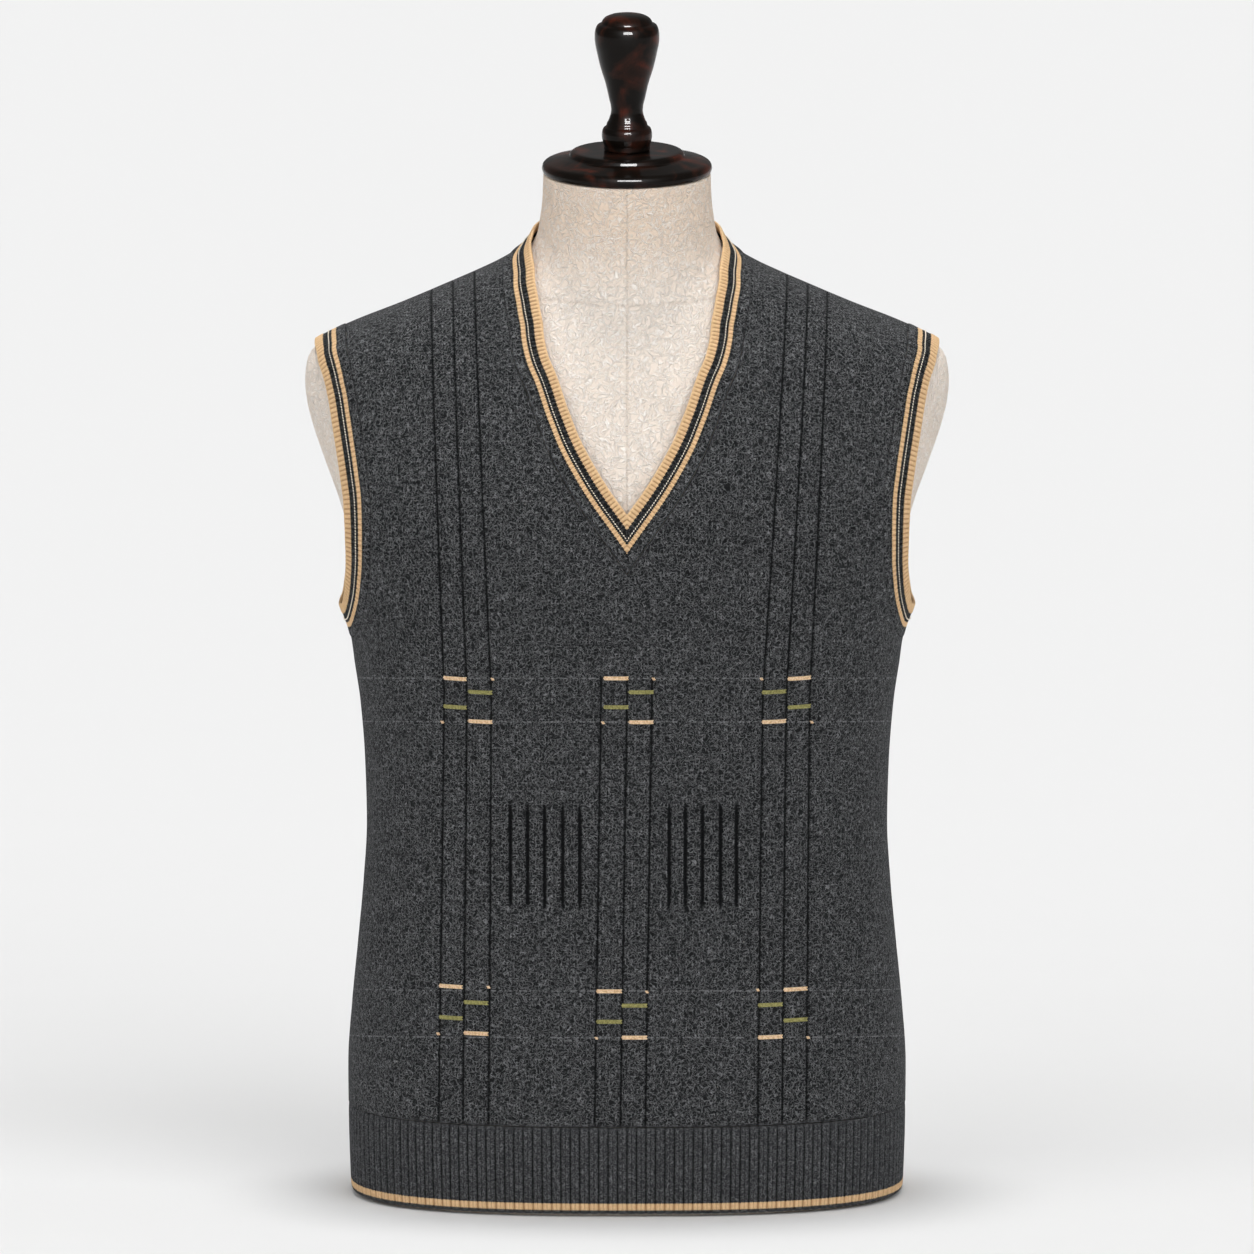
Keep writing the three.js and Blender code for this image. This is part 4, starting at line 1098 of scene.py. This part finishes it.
part = node(dash_tree, "ShaderNodeMath", {0: part}, operation="ABSOLUTE")
part = node(dash_tree, "ShaderNodeMath", {0: part, 1: 9.0}, operation="POWER")
dive = node(dash_tree, "ShaderNodeMath", {0: part, 1: -DIVE}, operation="MULTIPLY")
dive = node(dash_tree, "ShaderNodeCombineXYZ", {"Z": dive})
strand = node(dash_tree, "GeometryNodeSetPosition", {"Geometry": strand, "Offset": dive})
radius = node(dash_tree, "ShaderNodeMath", {0: (inputs, "Strand Width"), 1: 0.56},
              operation="MULTIPLY")
ring = node(dash_tree, "GeometryNodeCurvePrimitiveCircle", {"Resolution": 8, "Radius": radius})
strand = node(dash_tree, "GeometryNodeCurveToMesh",
              {"Fill Caps": True, "Curve": strand, "Profile Curve": ring})
step = node(dash_tree, "ShaderNodeCombineXYZ", {"Y": (inputs, "Strand Width")})
first = node(dash_tree, "ShaderNodeMath", {0: (inputs, "Strand Width"), 1: -1.0},
             operation="MULTIPLY")
first = node(dash_tree, "ShaderNodeCombineXYZ", {"Y": first})
strand_places = node(dash_tree, "GeometryNodeMeshLine",
                     {"Count": (inputs, "Strands"), "Start Location": first, "Offset": step})
slip = node(dash_tree, "FunctionNodeRandomValue", {0: (-SLIP, 0, 0), 1: (SLIP, 0, 0), "Seed": 4},
            data_type="FLOAT_VECTOR")
strand_places = node(dash_tree, "GeometryNodeSetPosition",
                     {"Geometry": strand_places, "Offset": slip})
strands = node(dash_tree, "GeometryNodeInstanceOnPoints",
               {"Points": strand_places, "Instance": strand})
strands = node(dash_tree, "GeometryNodeRealizeInstances", {"Geometry": strands})
dashes = node(dash_tree, "GeometryNodeInstanceOnPoints", {"Points": (inputs, "Geometry"),
                                                          "Instance": strands,
                                                          "Rotation": facing(dash_tree, inputs)})
close_tree(dash_tree, inputs, dashes, "Instances")


def plied_yarn(name, colour, shade):
    """Smooth plied wool: lighter on its strands, with a fine twist in relief."""
    material, tree = new_material(name, colour)
    here = node(tree, "ShaderNodeTexCoord")
    fleck = node(tree, "ShaderNodeTexNoise",
                 {"Scale": 1 / YARN_FLECK, "Detail": 2.0, "Vector": (here, "Object")})
    fleck = node(tree, "ShaderNodeMapRange",
                 {"From Min": 0.35, "From Max": 0.65, "Value": (fleck, "Fac")})
    tone = node(tree, "ShaderNodeMix", {0: fleck, 6: linear(colour), 7: linear(shade)},
                data_type="RGBA")
    wool_shader(tree, (tone, 2), fleck, 0.3, TWIST_RELIEF)
    return material


YARN_CREAM, YARN_CREAM_SHADE = "F0D6B6", "CDA97F"
YARN_OLIVE, YARN_OLIVE_SHADE = "A5A16A", "7A7648"
cream_yarn = plied_yarn("plied_wool_cream", YARN_CREAM, YARN_CREAM_SHADE)
olive_yarn = plied_yarn("plied_wool_olive", YARN_OLIVE, YARN_OLIVE_SHADE)
cream_places, olive_places, corner_places = [], [], []
for x, rows, left in BLOCKS:
    half_cell = DASH_LENGTH / 2 + 0.2
    for row, height in enumerate(rows):
        away = left * (-1 if row in (0, 2) else 1)
        places = cream_places if row in (0, 3) else olive_places
        places.append((x + away * half_cell, height))
        if row in (0, 3):
            corner_places.append((x - away * 2 * half_cell, height))

for name, places, yarn, length, strands in (
    ("dashes_cream", cream_places, cream_yarn, DASH_LENGTH, 3),
    ("dashes_olive", olive_places, olive_yarn, DASH_LENGTH, 3),
    ("corner_stitches", corner_places, cream_yarn, 1.3, 2),
):
    piece = place_piece(name, yarn_points(name, places), yarn)
    run_tree(piece, dash_tree, length=length * MM, strand_width=STRAND * MM, strands=strands,
             material=yarn)
    piece.data.polygons.foreach_set("use_smooth", np.ones(len(piece.data.polygons), bool))
    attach(piece, "root")

# Back of the vest
# A plain panel of the same knitting, with a shallow scooped neck.
back_knit = body_knit("felted_lambswool_back")
BACK_CREASES = table(
    "x0 z0 x1 z1 wide rise",
    (-170, 396, -120, 366, 10, 0.9),
    (172, 402, 126, 356, 9, 0.8),
    (-112, 288, -30, 266, 15, 0.9),
    (100, 262, 18, 242, 14, 0.8),
    (-140, 552, -88, 560, 12, 0.6),
    (138, 548, 92, 562, 12, 0.7),
    (-134, 112, -100, 82, 9, 0.5),
    (140, 120, 104, 80, 10, 0.6),
)
halves = [half_panel(side, BACK_CREASES, is_front=False) for side in (1, -1)]
vest_back = place_piece("vest_back", tidy_mesh(piece_mesh("vest_back", halves)), back_knit)
thicken(vest_back)
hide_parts("back_panel")
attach(vest_back, "root")

# Ribbed welts
# A two-and-two rib knitted on the same yarn, folded under at the edge, with a tan stripe
# just above the fold. One strip goes round the front and one round the back.
HEM_RIBS = 80  # to each strip
RIB_HEIGHT = 1.3
TAN_FLECK = 1.4 * MM
RIB_STITCH, RIB_COURSE = 1.4 * MM, 1.6 * MM  # along a band and across it
STRIPE_DIP = 0.45 * MM  # of a stripe's edge in a groove
HEM_STRIPE = (3.0, 7.4)  # from the edge
WELT_GROUND = "48494B"  # the smooth tops of its ribs, a shade paler than the panels
# The last of these tans is painted shade for the tan in the rib grooves
TAN, TAN_SHADE, TAN_GROOVE_SHADE = "E6C59A", "C8A174", "8A5A2C"

rib_tree, inputs = new_tree(
    "ribbing", ("Rib Pitch", "Float"), ("Rib Height", "Float"), ("Roundness", "Float"),
    ("Notch", "Float"), ("Material", "Material"),
)
along = node(rib_tree, "GeometryNodeInputNamedAttribute", {"Name": "along"}, data_type="FLOAT")
fade = node(rib_tree, "GeometryNodeInputNamedAttribute", {"Name": "fade"}, data_type="FLOAT")
phase = node(rib_tree, "ShaderNodeMath", {0: along, 1: (inputs, "Rib Pitch")}, operation="DIVIDE")
phase = node(rib_tree, "ShaderNodeMath", {0: phase}, operation="FRACT")
phase = node(rib_tree, "ShaderNodeMapRange", {"To Min": -1.0, "To Max": 1.0, "Value": phase})
from_top = node(rib_tree, "ShaderNodeMath", {0: phase}, operation="ABSOLUTE")
hollow = node(rib_tree, "ShaderNodeMath", {0: from_top, 1: (inputs, "Roundness")},
              operation="POWER")
notch = node(rib_tree, "ShaderNodeMapRange",
             {"From Max": 0.2, "To Min": 1.0, "To Max": 0.0, "Value": from_top})
notch = node(rib_tree, "ShaderNodeMath", {0: notch, 1: (inputs, "Notch")}, operation="MULTIPLY")
sink = node(rib_tree, "ShaderNodeMath", {0: hollow, 1: notch}, operation="ADD")
sink = node(rib_tree, "ShaderNodeMath", {0: sink, 1: (inputs, "Rib Height")}, operation="MULTIPLY")
sink = node(rib_tree, "ShaderNodeMath", {0: sink, 1: fade}, operation="MULTIPLY")
sink = node(rib_tree, "ShaderNodeMath", {0: sink, 1: -1.0}, operation="MULTIPLY")
way = node(rib_tree, "GeometryNodeInputNormal")
way = node(rib_tree, "ShaderNodeVectorMath", {0: way, "Scale": sink}, operation="SCALE")
ribbed = node(rib_tree, "GeometryNodeSetPosition",
              {"Geometry": (inputs, "Geometry"), "Offset": way})
# Painted shade for the rib grooves, deepest at the notch, kept as the hollow attribute
dark = node(rib_tree, "ShaderNodeMath", {0: notch, 1: 1.8, 2: hollow}, operation="MULTIPLY_ADD")
dark = node(rib_tree, "ShaderNodeMath", {0: dark, 1: fade}, operation="MULTIPLY")
dark = node(rib_tree, "ShaderNodeMath", {0: dark, 1: 1.0}, operation="MINIMUM")
ribbed = node(rib_tree, "GeometryNodeStoreNamedAttribute",
              {"Name": "hollow", "Geometry": ribbed, "Value": dark}, data_type="FLOAT",
              domain="POINT")
close_tree(rib_tree, inputs, ribbed)


def striped_knit(name, stripes, ground, smoother):
    """Ribbed cloth with stripes along it, each (where it ends, in mm from the edge, and if tan).

    Its charcoal is smoother than the panels': a plain ground hides its pale fibres by the
    share `smoother`, as far as the third stripe goes.
    """
    width, smoother_to = stripes[-1][0], stripes[2][0]
    material, tree = new_material(name, WOOL_DARK)
    here = node(tree, "ShaderNodeTexCoord")
    charcoal, fibres = charcoal_yarn(tree, here)
    parts = node(tree, "ShaderNodeSeparateXYZ", {0: (here, "UV")})
    hide = node(tree, "ShaderNodeMapRange", {"From Min": smoother_to * MM,
                                             "From Max": (smoother_to + 2) * MM,
                                             "To Min": smoother, "To Max": 0.0,
                                             "Value": (parts, "Y")})
    charcoal = node(tree, "ShaderNodeMix", {0: hide, 6: (charcoal, 2), 7: linear(ground)},
                    data_type="RGBA")
    hollow = node(tree, "ShaderNodeAttribute", attribute_name="hollow")
    loop = node(tree, "ShaderNodeMath", {0: (parts, "X"), 1: RIB_STITCH / 2}, operation="PINGPONG")
    loop_edge = node(tree, "ShaderNodeMath", {0: loop, 1: (parts, "Y")}, operation="ADD")
    loop_edge = node(tree, "ShaderNodeMath", {0: (hollow, "Fac"), 1: STRIPE_DIP, 2: loop_edge},
                     operation="MULTIPLY_ADD")
    share = node(tree, "ShaderNodeMath", {0: loop_edge, 1: width * MM}, operation="DIVIDE")
    lit = node(tree, "ShaderNodeValToRGB", {"Fac": share})
    lit.color_ramp.interpolation = "CONSTANT"
    stops = lit.color_ramp.elements
    starts = [0.0] + [end / width for end, _ in stripes[:-1]]
    for place, (_, is_tan) in zip(starts, stripes):
        stop = stops[0] if place == 0 else stops.new(place)
        stop.color = linear("FFFFFF" if is_tan else "000000")
    stops.remove(stops[-1])
    fleck = node(tree, "ShaderNodeTexNoise",
                 {"Scale": 1 / TAN_FLECK, "Detail": 3.0, "Vector": (here, "Object")})
    fleck = node(tree, "ShaderNodeMapRange",
                 {"From Min": 0.35, "From Max": 0.7, "To Max": 0.6, "Value": (fleck, "Fac")})
    dyed = node(tree, "ShaderNodeMix", {0: fleck, 6: linear(TAN), 7: linear(TAN_SHADE)},
                data_type="RGBA")
    # The rib grooves get painted shade: orange-brown on the tan, near black on the charcoal
    groove_shade = node(tree, "ShaderNodeMath", {0: (hollow, "Fac"), 1: 0.75}, operation="MULTIPLY")
    dyed = node(tree, "ShaderNodeMix", {0: groove_shade, 6: (dyed, 2), 7: linear(TAN_GROOVE_SHADE)},
                data_type="RGBA")
    groove_shade = node(tree, "ShaderNodeMath", {0: (hollow, "Fac"), 1: 0.95}, operation="MULTIPLY")
    charcoal = node(tree, "ShaderNodeMix", {0: groove_shade, 6: (charcoal, 2), 7: linear(RECESS_SHADE)},
                    data_type="RGBA")
    colour = node(tree, "ShaderNodeMix", {0: lit, 6: (charcoal, 2), 7: (dyed, 2)}, data_type="RGBA")
    loops = stitches(tree, here, RIB_STITCH, RIB_COURSE)
    height = node(tree, "ShaderNodeMath", {0: loops, 1: 1.5, 2: fibres}, operation="MULTIPLY_ADD")
    wool_shader(tree, (colour, 2), height, 0.5, RIB_RELIEF)
    return material


welt_knit = striped_knit("ribbed_lambswool_welt",
                         ((HEM_STRIPE[0], False), (HEM_STRIPE[1], True), (60, False)),
                         WELT_GROUND, 0.45)
HEM_ROWS = np.concatenate([
    [2.0, 2.3, 2.9, 3.8, 5.0, 6.4, 8.0, 10.0], np.arange(13, 55, 3.0), [55.5, 57.4, 58.8, 59.8],
])
COLUMNS_PER_RIB = 10
for name, solid, start, gap in (
    ("front_welt", "hem_rib_front", -QUARTER, -SEAM_GAP / 2),
    ("back_welt", "hem_rib_back", QUARTER, SEAM_GAP / 2),
):
    bent = np.linspace(-1, 1, 6001)
    share = (1 + np.sign(bent) * (1 - (1 - np.abs(bent)) ** 1.6)) / 2  # closer at the sides
    ring = vest(start + math.pi * share, np.full(len(share), 30.0))
    run = np.concatenate([[0], np.cumsum(np.linalg.norm(np.diff(ring, axis=0), axis=1))])
    length = run[-1]
    along = np.linspace(0, length, HEM_RIBS * COLUMNS_PER_RIB + 1)
    turn, z = np.meshgrid(start + math.pi * np.interp(along, run, share), HEM_ROWS)
    grid = vest(turn, z)
    folded = np.interp(z, (2.0, 2.9, 5.0, 8.0), (1.5, 0.55, 0.1, 0))
    pulled_in = np.interp(z, (54, 57, 59.8), (0, 0.25, 0.8))  # by the seam with the panel
    grid -= outward(vest, turn, z) * (folded + pulled_in)[..., None]
    grid[:, (0, -1), 1] += gap
    along = np.broadcast_to(along, z.shape)
    plain = np.minimum(along, length - along)
    fade = smooth_step(plain, 1.5, 4.0) * np.interp(z, (2, 5, 56, 59.8), (0.45, 1, 1, 0.6))
    marks = {"along": along * MM, "fade": fade}
    flat = np.stack([along, z - HEM_Z], -1)
    welt = place_piece(name, tidy_mesh(piece_mesh(name, [(grid, flat, marks)])), welt_knit)
    run_tree(welt, rib_tree, rib_pitch=length / HEM_RIBS * MM, rib_height=RIB_HEIGHT * MM,
             roundness=4.5, notch=0.32, material=welt_knit)
    thicken(welt, BAND_WALL)
    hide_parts(solid)
    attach(welt, "root")

# Neckband
# A strip of one-and-one rib linked on round the neck, mitred at the point of the V. Its
# free edge is tan and rolls a little; a cream stitch line and a second tan stripe follow.
NECK_STRIPES = ((6.3, True), (12.1, False), (15.1, True), (24.0, False))
CREAM_ACROSS = 9.9
NECK_ACROSS = np.array([
    0, 0.25, 0.7, 1.3, 2.2, 3.2, 4.2, 5.0, 5.7, 6.6, 8.0, 9.4, 10.4, 11.4, 12.2, 13.6, 15.0,
    16.6, 18.6, 20.6, 22.5 - SEAM_GAP / 2,
])
NECK_RISE = ((0, -0.5), (0.25, 0.1), (0.7, 0.6), (1.3, 1.0), (4.2, 1.1), (5.4, 0.9),
             (6.3, 0.7), (15, 0.8), (20.6, 1.0), (22.5, 0.5))
NECK_RIB, NECK_RIB_HEIGHT = 2.8, 0.85
BAND_ROUNDNESS = 3.0  # of a one-and-one rib's top
RIB_FADE = ((0, 0.1), (0.9, 0.3), (1.9, 1), (5.5, 0.9), (15, 0.7))  # from the free edge
NECK_LINE_LIFT = 1.15


def even_shares(offset, across, start, pitch, per_rib):
    """Shares at even distances along the middle of a band, whole ribs from `start` to 1."""
    fine = np.linspace(start, 1, 1600)
    turn, z = offset(fine, np.full(len(fine), float(across)))
    run = np.linalg.norm(np.diff(vest(turn, z), axis=0), axis=1).cumsum()
    run = np.concatenate([[0], run])
    ribs = round(run[-1] / pitch)
    along = np.linspace(0, run[-1], ribs * per_rib + 1)
    return np.interp(along, run, fine), along, run[-1] / ribs


def band_grid(offset, shares, along, across, rise):
    """A band's outer points: its ribs lie across it, along lines of one share."""
    share, reach = np.meshgrid(shares, across)
    turn, z = offset(share.ravel(), reach.ravel())
    turn, z = turn.reshape(share.shape), z.reshape(share.shape)
    lift = np.interp(reach, *zip(*rise))
    grid = vest(turn, z) + outward(vest, turn, z) * lift[..., None]
    fade = np.interp(reach, *zip(*RIB_FADE, (across[-1], 0.15)))
    along = np.broadcast_to(along, share.shape)
    return grid, np.stack([along, reach], -1), {"along": along * MM, "fade": fade}


def stitch_path(name, points, out, closed):
    """A path of edges that keeps the cloth's outward direction, for a row of stitches."""
    count = len(points)
    edges = [(i, (i + 1) % count) for i in range(count if closed else count - 1)]
    mesh = bpy.data.meshes.new(name)
    mesh.from_pydata(points * MM, edges, [])
    mark = mesh.attributes.new("out", "FLOAT_VECTOR", "POINT")
    mark.data.foreach_set("vector", out.ravel())
    return mesh


stitch_tree, inputs = new_tree(
    "stitch_row", ("Spacing", "Float"), ("Stitch Length", "Float"), ("Stitch Width", "Float"),
    ("Lean", "Float"), ("Seed", "Int"), ("Material", "Material"),
)
path = node(stitch_tree, "GeometryNodeMeshToCurve", {"Mesh": (inputs, "Geometry")})
path = node(stitch_tree, "GeometryNodeResampleCurve",
            {"Curve": path, "Length": (inputs, "Spacing")}, mode="LENGTH")
heading = node(stitch_tree, "GeometryNodeInputTangent")
out = node(stitch_tree, "GeometryNodeInputNamedAttribute", {"Name": "out"},
           data_type="FLOAT_VECTOR")
lying = node(stitch_tree, "FunctionNodeAlignRotationToVector", {"Vector": heading}, axis="X")
lying = node(stitch_tree, "FunctionNodeAlignRotationToVector", {"Rotation": lying, "Vector": out},
             axis="Z", pivot_axis="X")
sway = node(stitch_tree, "FunctionNodeRandomValue", {2: -0.12, 3: 0.12, "Seed": (inputs, "Seed")},
            data_type="FLOAT")
sway = node(stitch_tree, "ShaderNodeMath", {0: (sway, 1), 1: (inputs, "Lean")}, operation="ADD")
sway = node(stitch_tree, "ShaderNodeCombineXYZ", {"Z": sway})
sway = node(stitch_tree, "FunctionNodeEulerToRotation", {0: sway})
lying = node(stitch_tree, "FunctionNodeRotateRotation", {"Rotation": lying, "Rotate By": sway},
             rotation_space="LOCAL")
bead = node(stitch_tree, "GeometryNodeMeshUVSphere", {"Segments": 8, "Rings": 5, "Radius": 0.5})
size = node(stitch_tree, "ShaderNodeCombineXYZ", {"X": (inputs, "Stitch Length"),
                                                  "Y": (inputs, "Stitch Width"),
                                                  "Z": (inputs, "Stitch Width")})
row = node(stitch_tree, "GeometryNodeInstanceOnPoints",
           {"Points": path, "Instance": bead, "Rotation": lying, "Scale": size})
close_tree(stitch_tree, inputs, row, "Instances")


def stitch_row(name, points, out, closed, **sizes):
    """A row of short cream stitches along a band."""
    made = place_piece(name, stitch_path(name, points, out, closed), ecru_yarn)
    run_tree(made, stitch_tree, material=ecru_yarn, **sizes)
    made.data.polygons.foreach_set("use_smooth", np.ones(len(made.data.polygons), bool))
    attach(made, "root")
    return made


ecru_yarn = plied_yarn("plied_wool_ecru", "F8F0E3", "E0D3BE")
CREAM_STITCH = {"spacing": 1.9 * MM, "stitch_length": 1.5 * MM, "stitch_width": 0.75 * MM,
                "lean": 0.35, "seed": 2}
neck_knit = striped_knit("ribbed_lambswool_neckband", NECK_STRIPES, WOOL_DARK, 0.6)
past = -0.16  # share past the point of the V, cut away at the mitre
neck_shares, along, pitch = even_shares(neck_offset, 5.0, past, NECK_RIB, 6)
neck_grid = band_grid(neck_offset, neck_shares, along, NECK_ACROSS, NECK_RISE)
neck_strip = place_piece(
    "neck_strip",
    tidy_mesh(piece_mesh("neck_strip", [neck_grid]), keep_right=True, mirror=True),
    neck_knit,
)
run_tree(neck_strip, rib_tree, rib_pitch=pitch * MM, rib_height=NECK_RIB_HEIGHT * MM,
         roundness=BAND_ROUNDNESS, notch=0.0, material=neck_knit)
thicken(neck_strip, BAND_WALL)
cream_share = np.linspace(
    solve(-0.3, 0.2, lambda s: neck_offset(s, np.array([CREAM_ACROSS]))[0][0] >= 0), 1, 240
)
turn, z = neck_offset(cream_share, np.full(len(cream_share), CREAM_ACROSS))
right_out = outward(vest, turn, z)
right = vest(turn, z) + right_out * NECK_LINE_LIFT
turned_over = np.array([-1, 1, 1])
neck_line = stitch_row(
    "neck_stitch_line",
    np.concatenate([right, (right * turned_over)[-2:0:-1]]),
    np.concatenate([right_out, (right_out * turned_over)[-2:0:-1]]),
    True,
    **CREAM_STITCH,
)
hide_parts("neckband")
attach(neck_strip, "root")

# Armhole bands
# The same rib and stripes, a little wider, linked on round each armhole.
ARM_STRIPES = ((7.4, True), (13.6, False), (16.9, True), (24.0, False))
ARM_CREAM_ACROSS = 11.2
ARM_RIB, ARM_RIB_HEIGHT, ARM_LINE_LIFT = 3.3, 0.9, 0.85
ARM_ACROSS = np.array([
    0, 0.25, 0.7, 1.3, 2.4, 3.8, 5.2, 6.4, 7.3, 8.2, 9.6, 11.0, 12.2, 13.4, 14.6, 16.0, 17.2,
    18.8, 20.6, 22.2, 23.5 - SEAM_GAP / 2,
])
ARM_RISE = ((0, -0.4), (0.25, 0.15), (0.7, 0.6), (1.3, 0.9), (6.4, 0.95), (7.3, 0.65),
            (8.2, 0.45), (17, 0.5), (21.8, 0.7), (23.5, 0.3))

arm_knit = striped_knit("ribbed_lambswool_armband", ARM_STRIPES, WOOL_DARK, 0.6)


def arm_place(share, across):
    return arm_offset(share, across - ARM_EDGE)


arm_shares, along, pitch = even_shares(arm_place, 8.0, 0.0, ARM_RIB, 6)
right_grid = band_grid(arm_place, arm_shares, along, ARM_ACROSS, ARM_RISE)
cream_share = np.linspace(0, 1, 201)[:-1]
turn, z = arm_place(cream_share, np.full(len(cream_share), ARM_CREAM_ACROSS))
line_out = outward(vest, turn, z)
line_points = vest(turn, z) + line_out * ARM_LINE_LIFT
for word, side in (("right", 1), ("left", -1)):
    flip = np.array([side, 1, 1])
    grid, flat, marks = right_grid
    name = "arm_strip_" + word
    strip = place_piece(
        name, tidy_mesh(piece_mesh(name, [(grid * flip, flat, marks)])), arm_knit
    )
    run_tree(strip, rib_tree, rib_pitch=pitch * MM, rib_height=ARM_RIB_HEIGHT * MM,
             roundness=BAND_ROUNDNESS, notch=0.0, material=arm_knit)
    thicken(strip, BAND_WALL)
    line = stitch_row("arm_stitch_line_" + word, line_points * flip, line_out * flip, True,
                      **CREAM_STITCH)
    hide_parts("armhole_band_" + word)
    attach(strip, "root")
